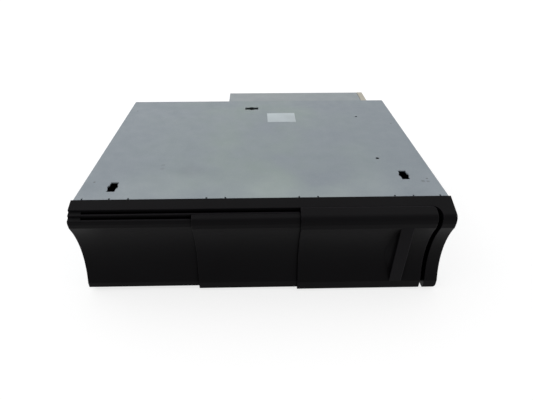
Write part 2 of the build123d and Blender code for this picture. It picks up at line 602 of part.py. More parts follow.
sled_y0 = disc_y + 11.0
sled_long = 23.0
sled = slab(play_x - 17.5, play_x + 17.5, sled_y0, sled_y0 + sled_long, 6.5, 14.5)
sled -= slab(play_x - 9.0, play_x + 9.0, sled_y0 - 1, sled_y0 + 4, 0, 20)
sled -= rod_y(rod_xs[0], sled_y0 - 1, sled_y0 + 30, pin_z, rod_r + shaft_fit)
fork_r = rod_r + shaft_fit
sled -= slab(rod_xs[1] - fork_r, rod_xs[1] + 5, sled_y0 - 1, sled_y0 + 30, pin_z - fork_r, pin_z + fork_r)
nut = slab(screw_x - 3.2, play_x - 17.3, sled_y0 + 7, sled_y0 + 15, 6.5, 11.4)
nut -= rod_y(screw_x, sled_y0, sled_y0 + 30, pin_z, screw_r + shaft_fit)
sled += nut
lens = flat_rod_z(play_x, sled_y0 + 12, 14.5, 16.0, 3.4, 24)
rods = Compound([rod_y(rod_at, disc_y + 6.5, plate_y1 - plate_t, pin_z, rod_r) for rod_at in rod_xs])
feed_screw = rod_y(screw_x, disc_y - 6, plate_y1 - plate_t - 0.2, pin_z, screw_r)
feed_motor = flat_rod_y(screw_x, disc_y - 17, disc_y + 3.5, pin_z, 5.0, 24)
feed_motor -= rod_y(screw_x, disc_y - 7, disc_y + 9, pin_z, screw_r + shaft_fit)

# ---------------------------------------------------------------- lift cam
cam_t = 1.2
cam = slab(cam_x0, cam_x1, cam_y0, cam_y0 + cam_t, 5.0, rack_z)
tilt = degrees(atan(lift_travel / cam_travel))
run = (lift_travel ** 2 + cam_travel ** 2) ** 0.5
for pin_x in pin_xs:
    groove = Box(run, 10, 2 * pin_r + 0.2) + Pos(-run / 2, 0, 0) * Rot(90, 0, 0) * Cylinder(pin_r + 0.1, 10)
    groove += Pos(run / 2, 0, 0) * Rot(90, 0, 0) * Cylinder(pin_r + 0.1, 10)
    cam -= Pos(pin_x - cam_travel / 2, cam_y0, pin_z + lift_travel / 2) * Rot(0, tilt, 0) * groove

# A 16-tooth pinion on the geared motor drives the rack on the cam's top edge.
gear_teeth = 16
gear_module = 1.0
gear_r = gear_teeth * gear_module / 2
gear_x = plate_x1 - 19.5
gear_z = rack_z + gear_r
tooth_high = 0.9 * gear_module
tooth_deep = 1.15 * gear_module
pressure = radians(20)
backlash = 0.12
gear_pitch = pi * gear_module
flank_steps = 3


def involute_gear():
    base_r = gear_r * cos(pressure)
    tip_r = gear_r + tooth_high
    root_r = gear_r - tooth_deep
    half_tooth = (gear_pitch / 2 - backlash) / 2 / gear_r
    pitch_roll = (gear_r * gear_r - base_r * base_r) ** 0.5 / base_r
    flank = []
    for step in range(flank_steps):
        r = base_r + (tip_r - base_r) * step / (flank_steps - 1)
        roll = (max(r * r - base_r * base_r, 0)) ** 0.5 / base_r
        flank.append((r, half_tooth + (pitch_roll - atan(pitch_roll)) - (roll - atan(roll))))
    points = []
    for tooth in range(gear_teeth):
        middle_angle = 2 * pi * (tooth + 0.5) / gear_teeth - pi / 2
        points.append((root_r, middle_angle - flank[0][1]))
        points += [(r, middle_angle - angle) for r, angle in flank]
        points += [(r, middle_angle + angle) for r, angle in reversed(flank)]
        points.append((root_r, middle_angle + flank[0][1]))
    corners = [(r * cos(angle), r * sin(angle)) for r, angle in points]
    return make_face(Plane.XZ * Polyline(corners, close=True))


gear_y0 = cam_y0 - 0.1
gear_shaft_r = 1.5
gear = Pos(gear_x, gear_y0, gear_z) * extrude(involute_gear(), amount=2.0, dir=(0, 1, 0))
gear += flat_rod_y(gear_x, gear_y0, cam_y0 + 5.0, gear_z, 3.0, 12)
gear -= rod_y(gear_x, cam_y0 - 5, cam_y0 + 15, gear_z, gear_shaft_r + shaft_fit)
rack_low = rack_z - tooth_deep
cam -= slab(cam_x0 - 5, cam_x1 + 5, cam_y0 - 1, cam_y0 + 3, rack_low, tall)
tooth_half = (gear_pitch / 2 - backlash) / 2
lean = 0.36397
first_tooth = -int(cam_travel / gear_pitch + 3.5)
for number in range(first_tooth, 5):
    tooth_x = gear_x + number * gear_pitch
    foot = tooth_half + tooth_deep * lean
    tip = tooth_half - tooth_high * lean
    corners = (
        (tooth_x - foot, rack_low - 0.05), (tooth_x - foot, rack_low), (tooth_x - tip, rack_z + tooth_high),
        (tooth_x + tip, rack_z + tooth_high), (tooth_x + foot, rack_low), (tooth_x + foot, rack_low - 0.05),
    )
    tooth = extrude(make_face(Plane.XZ * Polyline(corners, close=True)), amount=cam_t, dir=(0, 1, 0))
    cam += Pos(0, cam_y0, 0) * tooth

lift_motor = flat_rod_y(gear_x, cam_y0 + 5.4, body_depth - 8.0, gear_z, 10.0, 24)
lift_motor += rod_y(gear_x, cam_y0 - 0.2, cam_y0 + 5.5, gear_z, gear_shaft_r)
frame += slab(gear_x - 12, gear_x - 10.2, frame_y1 - 0.5, cam_y0 + 17.0, gear_z - 6, gear_z + 6)
frame += slab(gear_x - 12, gear_x - 8.0, cam_y0 + 7.0, cam_y0 + 17.0, gear_z - 11.4, gear_z - 10.2)
frame += slab(gear_x - 12, gear_x - 10.2, cam_y0 + 7.0, cam_y0 + 17.0, gear_z - 11.4, gear_z - 5)

# ---------------------------------------------------------------- tray puller and eject lever
# The puller runs in front of the tray lugs and reaches back into their notches.
puller_x0 = notch_x0 - 1.3
puller_x1 = puller_x0 + 3.1
puller_y1 = edge_y0 - 0.4
puller = slab(puller_x0, puller_x1, plate_y0 + 0.3, puller_y1, plate_z + plate_t + 0.1, 15.3)
puller += slab(puller_x0, puller_x1, plate_y0 + 1.4, puller_y1, plate_z - 2.1, plate_z - 0.1)
puller += slab(puller_x0 + 1.2, puller_x0 + 2.6, guide_y0 + 0.1, guide_y1 - 0.1, plate_z - 1, plate_z + 2)
puller += slab(notch_x0 + 0.4, notch_x0 + 1.8, puller_y1 - 1.0, edge_y0 + 1.8, 15.0, 19.6)
lever_x = mag_x1 - 36.0
lever_y = mag_y1 + 4.6
lever_len = 30.0
lever_z0 = mag_z0 + 5.0
lever = slab(lever_x - lever_len, lever_x + 3.0, lever_y - 1.8, lever_y + 1.8, lever_z0, lever_z0 + 3.0)
lever += flat_rod_z(lever_x - lever_len, lever_y - 1.2, lever_z0, lever_z0 + 10.0, 2.6, 16)
lever -= rod_z(lever_x, lever_y, mag_z0, mag_z1, 1.0 + shaft_fit)
frame += rod_z(lever_x, lever_y, floor_z1 - 0.3, lever_z0 + 8.0, 1.0)

# ---------------------------------------------------------------- main board
board_top = board_z + 1.6
board = slab(board_x0, board_x1, board_y0, board_y1, board_z, board_top)


# Places on the board are shares of its width and depth; the components keep their size.
def on_board(share_x, share_y):
    return board_x0 + share_x * (board_x1 - board_x0), board_y0 + share_y * (board_y1 - board_y0)


def chip(share_x, share_y, wide_x, deep, high):
    x, y = on_board(share_x, share_y)
    return slab(x, x + wide_x, y, y + deep, board_top, board_top + high)


def capacitor(share_x, share_y, r, high):
    x, y = on_board(share_x, share_y)
    return flat_rod_z(x, y, board_top, board_top + high, r, 16)


parts_on_board = [
    chip(0.14, 0.13, 20, 20, 2.4), chip(0.46, 0.13, 12, 30, 2.8), chip(0.69, 0.61, 14, 14, 2.0),
    chip(0.76, 0.29, 10, 24, 12.4), chip(0.51, 0.74, 20, 10, 6.4), chip(0.17, 0.73, 8, 12, 7.0),
    capacitor(0.23, 0.56, 5.0, 11.4), capacitor(0.36, 0.56, 5.0, 11.4),
]
components = Compound(parts_on_board)

# ---------------------------------------------------------------- eject button
button_x0 = half_w - 19.6
button_x1 = button_x0 + 6.0
button_z0 = 36.0
button_z1 = 50.0
stem_x = (button_x0 + button_x1) / 2
stem_z = (button_z0 + button_z1) / 2
stem_r = 1.4
bezel -= slab(button_x0 - 0.3, button_x1 + 0.3, -5, 5, button_z0 - 0.3, button_z1 + 0.3)
for cage_z in (button_z0 - 2.0, button_z1 + 1.0):
    bezel += slab(button_x0 - 0.4, button_x1 + 0.4, -1, 10.0, cage_z, cage_z + 1.0)
bezel += slab(button_x0 - 0.4, button_x1 + 0.4, 9.0, 10.0, button_z0 - 1.5, button_z1 + 1.5)
bezel -= flat_rod_y(stem_x, 5, 12, stem_z, across(stem_r + 0.2, 8), 8)
button = slab(button_x0, button_x1, -4.6, 1.8, button_z0, button_z1)
button += slab(button_x0 - 0.35, button_x1 + 0.35, 0.4, 1.8, button_z0 - 0.7, button_z1 + 0.7)
button += flat_rod_y(stem_x, 1.0, 11.6, stem_z, stem_r, 8)

# The return spring: four turns of wire around the stem, in straight sixths of a turn.
spring_r = 2.3
wire_r = 0.25
spring_turns = 4
spring_rise = 6.5
sixths = 6 * spring_turns
stations = []
for step in range(sixths + 1):
    angle = 2 * pi * step / 6
    stations.append((spring_r * cos(angle), spring_r * sin(angle), spring_rise * step / sixths))
coil = Polyline(*stations)
wire = Plane(origin=coil @ 0, z_dir=coil % 0) * RegularPolygon(wire_r, 6)
spring = Pos(stem_x, 2.1, stem_z) * Rot(-90, 0, 0) * sweep(wire, path=coil, transition=Transition.RIGHT)
switch_board = slab(button_x0 - 0.4, half_w - 7.0, 15.6, 16.8, 34.0, 56.0)
switch_board += slab(stem_x - 3, stem_x + 3, 15.0, 15.6, stem_z - 3, stem_z + 3)
switch_board += slab(stem_x - 1.4, stem_x + 1.4, 14.75, 15.2, stem_z - 1.4, stem_z + 1.4)
chassis += slab(half_w - 9.0, chassis_half - sheet + 0.2, 16.8, 17.8, 34.0, 56.0)


# ---------------------------------------------------------------- write every piece
pieces = {
    "front_bezel": bezel,
    "door_middle_panel": middle,
    "door_right_panel": right,
    "top_cover": cover,
    "bottom_chassis": chassis,
    "rear_housing": rear_house,
    "rear_connector": conn,
    "connector_contacts": pins,
    "cover_label": label,
    "cover_screws": cover_screws,
    "magazine_case": case,
    "magazine_lid": lid,
    "mechanism_frame": frame,
    "oil_dampers": oil_dampers,
    "traverse_plate": plate,
    "spindle_motor": motor,
    "turntable": table,
    "clamp_arm": arm,
    "clamp_puck": puck,
    "pickup_sled": sled,
    "pickup_lens": lens,
    "guide_rods": rods,
    "feed_screw": feed_screw,
    "feed_motor": feed_motor,
    "lift_cam": cam,
    "main_board": board,
    "board_components": components,
    "eject_button": button,
    "eject_spring": spring,
    "switch_board": switch_board,
    "lift_gear": gear,
    "lift_motor": lift_motor,
    "tray_puller": puller,
    "eject_lever": lever,
}
for number, tray in enumerate(trays, start=1):
    pieces["tray_" + str(number)] = tray
for name, shape in pieces.items():
    save(name, shape)
    print(name, "solids", len(shape.solids()), "volume", round(shape.volume, 1))
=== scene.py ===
# %% [markdown]
# # A car CD changer, dressed over its CAD frame
# The CAD model gives every rigid piece its shape and place. This lesson adds what CAD leaves out:
# the light, the camera, the finishes, and small things such as threads, ribs and grain.
# Everything is in metres, in the CAD model's own frame.

# %% Load the frame
import math
import bpy
from mathutils import Matrix, Vector


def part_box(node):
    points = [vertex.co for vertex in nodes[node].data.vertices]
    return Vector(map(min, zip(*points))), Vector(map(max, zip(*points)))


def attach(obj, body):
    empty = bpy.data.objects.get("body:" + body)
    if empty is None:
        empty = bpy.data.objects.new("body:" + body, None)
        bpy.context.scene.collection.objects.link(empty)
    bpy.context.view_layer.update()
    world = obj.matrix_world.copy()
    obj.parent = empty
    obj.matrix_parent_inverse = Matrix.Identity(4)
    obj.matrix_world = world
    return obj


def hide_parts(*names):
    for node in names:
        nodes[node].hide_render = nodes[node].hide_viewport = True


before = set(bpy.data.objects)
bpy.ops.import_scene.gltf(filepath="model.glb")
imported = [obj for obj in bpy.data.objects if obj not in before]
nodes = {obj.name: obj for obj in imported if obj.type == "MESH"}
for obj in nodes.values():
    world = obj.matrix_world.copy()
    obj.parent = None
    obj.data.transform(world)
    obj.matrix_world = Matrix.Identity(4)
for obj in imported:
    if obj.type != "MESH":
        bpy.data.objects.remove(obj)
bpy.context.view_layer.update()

# %% [markdown]
# ## Camera
# The photograph was taken from in front, a little left of the middle, looking down by about
# 33 degrees from only 36 cm away. That short distance gives the strong taper of the top cover.
# A camera can be placed by eye, but matching the corners of the casing to their places in the
# photograph gives the distance, the turn and the lens together, so that way was used.

# %% Place the camera
camera_data = bpy.data.cameras.new("camera")
camera = bpy.data.objects.new("camera", camera_data)
bpy.context.scene.collection.objects.link(camera)
bpy.context.scene.camera = camera
photo_width = 533
focal_pixels = 440.0
camera_data.sensor_width = 36.0
camera_data.lens = focal_pixels * camera_data.sensor_width / photo_width
camera_data.clip_start = 0.01
camera_x, camera_y, camera_z = -0.0033, -0.3551, 0.2379
look_down = math.radians(32.63)
turn = math.radians(1.37)
tilt = math.radians(0.05)
level = math.cos(look_down)
forward = Vector((math.sin(turn) * level, math.cos(turn) * level, -math.sin(look_down)))
flat_right = Vector((math.cos(turn), -math.sin(turn), 0.0))
flat_up = flat_right.cross(forward)
right = math.cos(tilt) * flat_right + math.sin(tilt) * flat_up
up = math.cos(tilt) * flat_up - math.sin(tilt) * flat_right
camera.matrix_world = Matrix((
    (right.x, up.x, -forward.x, camera_x),
    (right.y, up.y, -forward.y, camera_y),
    (right.z, up.z, -forward.z, camera_z),
    (0, 0, 0, 1),
))
print("lens", round(camera_data.lens, 2), "mm")

# %% [markdown]
# ## Floor and light
# Small products are often shot in a tent of white cloth: one broad light above and white walls
# all round. One very wide soft lamp over the casing does the same here, with a world that is
# dim in front and behind and brighter at both sides, so that the ends of the casing stay light.
# The camera, and every ray that bounces off metal or passes through glass, sees plain white
# instead, and the floor takes the object's soft shadow.

# %% Material and ray helpers
def new_material(name):
    material = bpy.data.materials.new(name)
    material.use_nodes = True
    tree = material.node_tree
    return material, tree, tree.nodes["Principled BSDF"]


def looked_at(tree):
    path = tree.nodes.new("ShaderNodeLightPath")
    result = path.outputs["Is Camera Ray"]
    for ray in ("Is Glossy Ray", "Is Transmission Ray"):
        either = tree.nodes.new("ShaderNodeMath")
        either.operation = "MAXIMUM"
        tree.links.new(result, either.inputs[0])
        tree.links.new(path.outputs[ray], either.inputs[1])
        result = either.outputs[0]
    return result


print("material and ray helpers ready")

# %% [markdown]
# ## Floor
# The floor is one plain square just under the casing. It is mid grey to the light that bounces
# about, so that the black front isn't lit from below, and nearly white to whatever looks at it.

# %% Floor
floor_half, floor_height = 6.0, -0.0004
floor_corners = [
    (x * floor_half, y * floor_half, floor_height) for x, y in ((-1, -1), (1, -1), (1, 1), (-1, 1))
]
floor_mesh = bpy.data.meshes.new("floor")
floor_mesh.from_pydata(floor_corners, [], [(0, 1, 2, 3)])
floor = bpy.data.objects.new("floor", floor_mesh)
bpy.context.scene.collection.objects.link(floor)
floor_material, floor_tree, floor_shader = new_material("floor_white")
floor_shader.inputs["Roughness"].default_value = 0.9
floor_shader.inputs["Specular IOR Level"].default_value = 0.1
floor_shader.inputs["Emission Color"].default_value = (1, 1, 1, 1)
floor_seen = looked_at(floor_tree)
floor_levels = (("Base Color", 0.35, 0.36), ("Emission Strength", 0.0, 0.76))
for socket_name, when_unseen, when_seen in floor_levels:
    choice = floor_tree.nodes.new("ShaderNodeMapRange")
    choice.inputs["To Min"].default_value = when_unseen
    choice.inputs["To Max"].default_value = when_seen
    floor_tree.links.new(floor_seen, choice.inputs["Value"])
    floor_tree.links.new(choice.outputs["Result"], floor_shader.inputs[socket_name])
floor_mesh.materials.append(floor_material)
print("floor", 2 * floor_half, "m wide")

# %% [markdown]
# ## World
# The world's strength grows with the sideways part of the direction, which the Generated
# coordinate gives for a world. Looked at straight, or in metal or glass, it is plain white.

# %% World
wall_low, wall_high = 0.10, 1.0
wall_from, wall_to = 0.3, 0.9
world = bpy.data.worlds.new("studio")
bpy.context.scene.world = world
world.use_nodes = True
world_tree = world.node_tree
background = world_tree.nodes["Background"]
background.inputs["Color"].default_value = (1, 1, 1, 1)
heading = world_tree.nodes.new("ShaderNodeTexCoord")
heading_split = world_tree.nodes.new("ShaderNodeSeparateXYZ")
world_tree.links.new(heading.outputs["Generated"], heading_split.inputs["Vector"])
sideways = world_tree.nodes.new("ShaderNodeMath")
sideways.operation = "ABSOLUTE"
world_tree.links.new(heading_split.outputs["X"], sideways.inputs[0])
walls = world_tree.nodes.new("ShaderNodeMapRange")
walls.inputs["From Min"].default_value = wall_from
walls.inputs["From Max"].default_value = wall_to
walls.inputs["To Min"].default_value = wall_low
walls.inputs["To Max"].default_value = wall_high
world_tree.links.new(sideways.outputs[0], walls.inputs["Value"])
seen = world_tree.nodes.new("ShaderNodeMapRange")
seen.inputs["To Max"].default_value = 1.0
world_tree.links.new(looked_at(world_tree), seen.inputs["Value"])
world_tree.links.new(walls.outputs["Result"], seen.inputs["To Min"])
world_tree.links.new(seen.outputs["Result"], background.inputs["Strength"])
print("world strength from", wall_low, "in front to", wall_high, "at the sides")

# %% [markdown]
# ## Lamp
# The roof of the tent is a sun lamp whose disc is 100 degrees wide, so no shadow has an edge.
# It stands a little behind the casing and to its left, as the photograph's light does: the
# left of the front is the lighter end, and the foot of the front stays dark.

# %% Lamp
tent = bpy.data.lights.new("tent_light", "SUN")
tent.energy = 1.42
tent.angle = math.radians(100)
tent_lamp = bpy.data.objects.new("tent_light", tent)
bpy.context.scene.collection.objects.link(tent_lamp)
tent_lamp.rotation_euler = (math.radians(-20), math.radians(-18), 0.0)
bpy.context.scene.view_settings.view_transform = "Standard"

# %% [markdown]
# ## Helpers for finishes
# Each finish is a Principled shader fed by noise on Object coordinates. The CAD nodes sit at the
# origin with their place in their mesh, so Object coordinates are metres in the model's frame:
# a noise scale of 1000 makes grains about a millimetre wide.

# %% Finish helpers
def rgb(red, green, blue):
    def linear(value):
        value /= 255
        return value / 12.92 if value <= 0.04045 else ((value + 0.055) / 1.055) ** 2.4
    return (linear(red), linear(green), linear(blue), 1.0)


def times(colour, factor, lift=0.0):
    return tuple(part * factor + lift for part in colour[:3]) + (1.0,)


def place_input(tree):
    coordinates = tree.nodes.new("ShaderNodeTexCoord")
    return coordinates.outputs["Object"]


def noise(tree, place, scale, detail=2.0):
    texture = tree.nodes.new("ShaderNodeTexNoise")
    texture.inputs["Scale"].default_value = scale
    texture.inputs["Detail"].default_value = detail
    tree.links.new(place, texture.inputs["Vector"])
    return texture.outputs["Fac"]


def blend_colours(tree, factor, first, second):
    mix = tree.nodes.new("ShaderNodeMix")
    mix.data_type = "RGBA"
    tree.links.new(factor, mix.inputs["Factor"])
    for socket, value in ((mix.inputs[6], first), (mix.inputs[7], second)):
        if isinstance(value, tuple):
            socket.default_value = value
        else:
            tree.links.new(value, socket)
    return mix.outputs[2]


def spread(tree, value, low, high, to_low, to_high):
    node = tree.nodes.new("ShaderNodeMapRange")
    node.inputs["From Min"].default_value = low
    node.inputs["From Max"].default_value = high
    node.inputs["To Min"].default_value = to_low
    node.inputs["To Max"].default_value = to_high
    tree.links.new(value, node.inputs["Value"])
    return node.outputs["Result"]


def bump(tree, shader, height, depth, strength=1.0):
    node = tree.nodes.new("ShaderNodeBump")
    node.inputs["Distance"].default_value = depth
    node.inputs["Strength"].default_value = strength
    tree.links.new(height, node.inputs["Height"])
    tree.links.new(node.outputs["Normal"], shader.inputs["Normal"])


def dress(material, *names):
    for name in names:
        for slot in nodes[name].material_slots:
            slot.link = "OBJECT"
            slot.material = material


print("helpers ready")

# %% [markdown]
# ## Zinc-plated sheet steel
# The cover is bare zinc-plated sheet: even grey, slightly blue at the sides and greener in the
# middle, with faint cloudy stains and a grain too fine to count. A photograph of metal could be
# used as a texture, but layered noise needs no file and has no seam: one wide noise for the
# clouds, one fine noise for the grain, and a band across X for the change of tint. Two more bands
# are painted light: a painted highlight towards the front and painted shade towards the left end.
# Dents are dark round spots of painted shade and rubs are soft round marks, each given by its
# place, its radius and its depth of colour.

# %% Sheet steel
cover_height = 0.076


def sheet_steel(name, side_tint, middle_tint, roughness, metallic, marks=()):
    material, tree, shader = new_material(name)
    place = place_input(tree)
    split = tree.nodes.new("ShaderNodeSeparateXYZ")
    tree.links.new(place, split.inputs["Vector"])
    from_middle = tree.nodes.new("ShaderNodeMath")
    from_middle.operation = "ABSOLUTE"
    tree.links.new(split.outputs["X"], from_middle.inputs[0])
    band = spread(tree, from_middle.outputs[0], 0.02, 0.12, 0.0, 1.0)
    tint = blend_colours(tree, band, middle_tint, side_tint)
    # painted highlight: the cover turns lighter towards the front, where the light above shines off
    # it
    front_highlight = spread(tree, split.outputs["Y"], -0.100, -0.055, 0.16, 0.0)
    tint = blend_colours(tree, front_highlight, tint, rgb(205, 210, 214))
    # painted shade: the cover turns darker and bluer towards the left end
    left_shade = spread(tree, split.outputs["X"], -0.13, 0.02, 0.07, 0.0)
    tint = blend_colours(tree, left_shade, tint, rgb(96, 102, 112))
    clouds = spread(tree, noise(tree, place, 22.0, 3.0), 0.35, 0.65, 0.0, 1.0)
    darker = blend_colours(tree, clouds, times(side_tint, 0.955), tint)
    grain = noise(tree, place, 2600.0, 1.0)
    sparkle = spread(tree, grain, 0.2, 0.8, 0.0, 0.12)
    colour = blend_colours(tree, sparkle, darker, rgb(210, 214, 216))
    # each spot darkens the colour: over a dent this is painted shade, over a rub it is the rub's
    # own mark
    for mark_x, mark_y, mark_size, mark_depth in marks:
        distance = tree.nodes.new("ShaderNodeVectorMath")
        distance.operation = "DISTANCE"
        distance.inputs[1].default_value = (mark_x, mark_y, cover_height)
        tree.links.new(place, distance.inputs[0])
        mask = spread(tree, distance.outputs["Value"], mark_size * 0.4, mark_size, mark_depth, 0.0)
        colour = blend_colours(tree, mask, colour, rgb(84, 88, 94))
    tree.links.new(colour, shader.inputs["Base Color"])
    shader.inputs["Metallic"].default_value = metallic
    smears = noise(tree, place, 90.0, 3.0)
    gloss = spread(tree, smears, 0.3, 0.7, roughness - 0.05, roughness + 0.07)
    tree.links.new(gloss, shader.inputs["Roughness"])
    shader.inputs["Specular IOR Level"].default_value = 0.35
    bump(tree, shader, grain, 0.00002, 0.35)
    return material


# the first four are dents, darkened as painted shade; the rest are rubs
cover_dent_shade_and_rubs = (
    (-0.1220, -0.0754, 0.0011, 0.85),
    (0.1220, -0.0754, 0.0011, 0.85),
    (0.1225, 0.0286, 0.0011, 0.85),
    (-0.1217, 0.0650, 0.0011, 0.85),
    (0.1180, -0.0790, 0.0020, 0.5),
    (0.1215, -0.0795, 0.0016, 0.5),
    (-0.0760, -0.0560, 0.0022, 0.22),
    (-0.0765, -0.0500, 0.0022, 0.22),
    (-0.0530, -0.0600, 0.0120, 0.12),
)
cover_side, cover_middle = rgb(126, 136, 144), rgb(130, 143, 141)
chassis_side, chassis_middle = rgb(140, 148, 154), rgb(142, 152, 154)
rear_side, rear_middle = rgb(136, 144, 149), rgb(138, 145, 148)
cover_steel = sheet_steel("cover_steel", cover_side, cover_middle, 0.5, 0.15, cover_dent_shade_and_rubs)
chassis_steel = sheet_steel("chassis_steel", chassis_side, chassis_middle, 0.48, 0.25)
rear_steel = sheet_steel("rear_steel", rear_side, rear_middle, 0.5, 0.15)
chassis_nodes = ("bottom_chassis", "mechanism_frame", "traverse_plate", "clamp_arm", "lift_cam")
dress(cover_steel, "top_cover")
dress(rear_steel, "rear_housing")
dress(chassis_steel, *chassis_nodes)
print("sheet steel on", 2 + len(chassis_nodes), "nodes, marks", len(cover_dent_shade_and_rubs))

# %% [markdown]
# ## Black moulded plastic
# The bezel and the door panels are black, with the fine dull grain of an etched mould. Dark
# plastic is mostly its sheen: a low specular level and a middling roughness keep the front
# nearly black while the surfaces that face the light above turn dark grey. Light and shade are
# painted into it in three places. Edges get a painted highlight: the Bevel node rounds the normal
# there, and where it differs from the flat one lies an edge. Gaps get painted shade, found by the
# Ambient Occlusion node. The upright grip gets a painted highlight, a band in X and Z that lifts
# its colour.

# %% Painted highlights on edges and grip, painted shade in gaps
def inside_band(tree, split, x0, x1, z0, z1, soft=0.0003):
    band = None
    for axis, low, high in (("X", x0, x1), ("Z", z0, z1)):
        above = spread(tree, split.outputs[axis], low, low + soft, 0.0, 1.0)
        below = spread(tree, split.outputs[axis], high - soft, high, 1.0, 0.0)
        for limit in (above, below):
            if band is None:
                band = limit
                continue
            both = tree.nodes.new("ShaderNodeMath")
            both.operation = "MULTIPLY"
            tree.links.new(band, both.inputs[0])
            tree.links.new(limit, both.inputs[1])
            band = both.outputs[0]
    return band


def worn(tree, shader, place, tint, rounded, colour, highlight_bands):
    surface = tree.nodes.new("ShaderNodeNewGeometry")
    likeness = tree.nodes.new("ShaderNodeVectorMath")
    likeness.operation = "DOT_PRODUCT"
    tree.links.new(rounded, likeness.inputs[0])
    tree.links.new(surface.outputs["Normal"], likeness.inputs[1])
    # painted highlight: edges, found where the Bevel normal differs from the flat one, are
    # lightened
    edge_highlight = spread(tree, likeness.outputs["Value"], 0.86, 0.995, 0.75, 0.0)
    tint = blend_colours(tree, edge_highlight, tint, times(colour, 7.0))
    split = tree.nodes.new("ShaderNodeSeparateXYZ")
    tree.links.new(place, split.inputs["Vector"])
    # painted highlight: each band in X and Z lifts the colour
    for x0, x1, z0, z1, lift in highlight_bands:
        band = inside_band(tree, split, x0, x1, z0, z1)
        tint = blend_colours(tree, band, tint, times(colour, lift))
    # painted shade: gaps and hollows found by Ambient Occlusion are darkened and lose their sheen
    depth = tree.nodes.new("ShaderNodeAmbientOcclusion")
    depth.samples = 8
    depth.inputs["Distance"].default_value = 0.005
    gap_shade = spread(tree, depth.outputs["AO"], 0.45, 0.92, 1.0, 0.0)
    tint = blend_colours(tree, gap_shade, tint, times(colour, 0.15))
    sheen_tint = blend_colours(tree, gap_shade, (1.0, 1.0, 1.0, 1.0), (0.0, 0.0, 0.0, 1.0))
    tree.links.new(sheen_tint, shader.inputs["Specular Tint"])
    return tint


print("wear ready")

# %% Moulded plastic
def moulded(name, colour, roughness, specular, grain_scale=1800.0, grain_depth=0.00003,
            edge_round=0.0, highlight_bands=()):
    material, tree, shader = new_material(name)
    place = place_input(tree)
    clouds = spread(tree, noise(tree, place, 35.0, 2.0), 0.3, 0.7, 0.0, 1.0)
    tint = blend_colours(tree, clouds, colour, times(colour, 1.18, 0.0006))
    grain = noise(tree, place, grain_scale, 2.0)
    gloss = spread(tree, grain, 0.3, 0.7, roughness - 0.06, roughness + 0.06)
    shader.inputs["Specular IOR Level"].default_value = specular
    bump(tree, shader, grain, grain_depth, 0.5)
    grain_bump = shader.inputs["Normal"].links[0].from_node
    if edge_round:
        edges = tree.nodes.new("ShaderNodeBevel")
        edges.samples = 8
        edges.inputs["Radius"].default_value = edge_round
        tree.links.new(edges.outputs["Normal"], grain_bump.inputs["Normal"])
        tint = worn(tree, shader, place, tint, edges.outputs["Normal"], colour, highlight_bands)
    tree.links.new(tint, shader.inputs["Base Color"])
    tree.links.new(gloss, shader.inputs["Roughness"])
    return material


grip_low, grip_high = 0.0085, 0.0603
# painted highlight on the grip: its face, and brighter along its right edge
grip_highlight_bands = (
    (0.0944, 0.1034, grip_low, grip_high, 2.3),
    (0.1029, 0.1036, grip_low, grip_high, 6.0),
)
black_plastic = moulded(
    "black_plastic", rgb(11, 10, 12), 0.40, 0.05, edge_round=0.0006, highlight_bands=grip_highlight_bands
)
magazine_plastic = moulded("magazine_plastic", rgb(46, 46, 49), 0.5, 0.4)
tray_plastic = moulded("tray_plastic", rgb(66, 66, 68), 0.45, 0.4)
white_plastic = moulded("white_plastic", rgb(222, 222, 214), 0.4, 0.4, 900.0)
ivory_plastic = moulded("ivory_plastic", rgb(176, 171, 158), 0.5, 0.3, 900.0)
part_plastic = moulded("part_plastic", rgb(34, 34, 37), 0.42, 0.4)
rubber = moulded("rubber", rgb(30, 30, 30), 0.75, 0.25, 700.0)
dress(black_plastic, "front_bezel", "door_middle_panel", "door_right_panel", "eject_button")
dress(magazine_plastic, "magazine_case", "magazine_lid")
dress(tray_plastic, *["tray_" + str(number) for number in range(1, 7)])
dress(white_plastic, "turntable", "clamp_puck", "tray_puller", "lift_gear", "eject_lever")
dress(ivory_plastic, "rear_connector")
dress(part_plastic, "board_components", "pickup_sled")
dress(rubber, "oil_dampers")
plastics = (black_plastic, magazine_plastic, tray_plastic, white_plastic)
plastics += (ivory_plastic, part_plastic, rubber)
print("plastics", [plastic.name for plastic in plastics])

# %% [markdown]
# ## Small finishes
# Paper, plated cans, ground rods, gold contacts, ceramic and the coated lens are each seen only
# in small places, so each gets a short recipe of its own: one colour, one noise and the right
# gloss.

# %% Small finishes
def plated(name, colour, roughness, metallic=1.0, scale=400.0):
    material, tree, shader = new_material(name)
    place = place_input(tree)
    haze = noise(tree, place, scale, 2.0)
    clean = spread(tree, haze, 0.3, 0.7, 0.0, 1.0)
    tint = blend_colours(tree, clean, times(colour, 0.82), colour)
    tree.links.new(tint, shader.inputs["Base Color"])
    shader.inputs["Metallic"].default_value = metallic
    gloss = spread(tree, haze, 0.3, 0.7, roughness, roughness + 0.12)
    tree.links.new(gloss, shader.inputs["Roughness"])
    return material


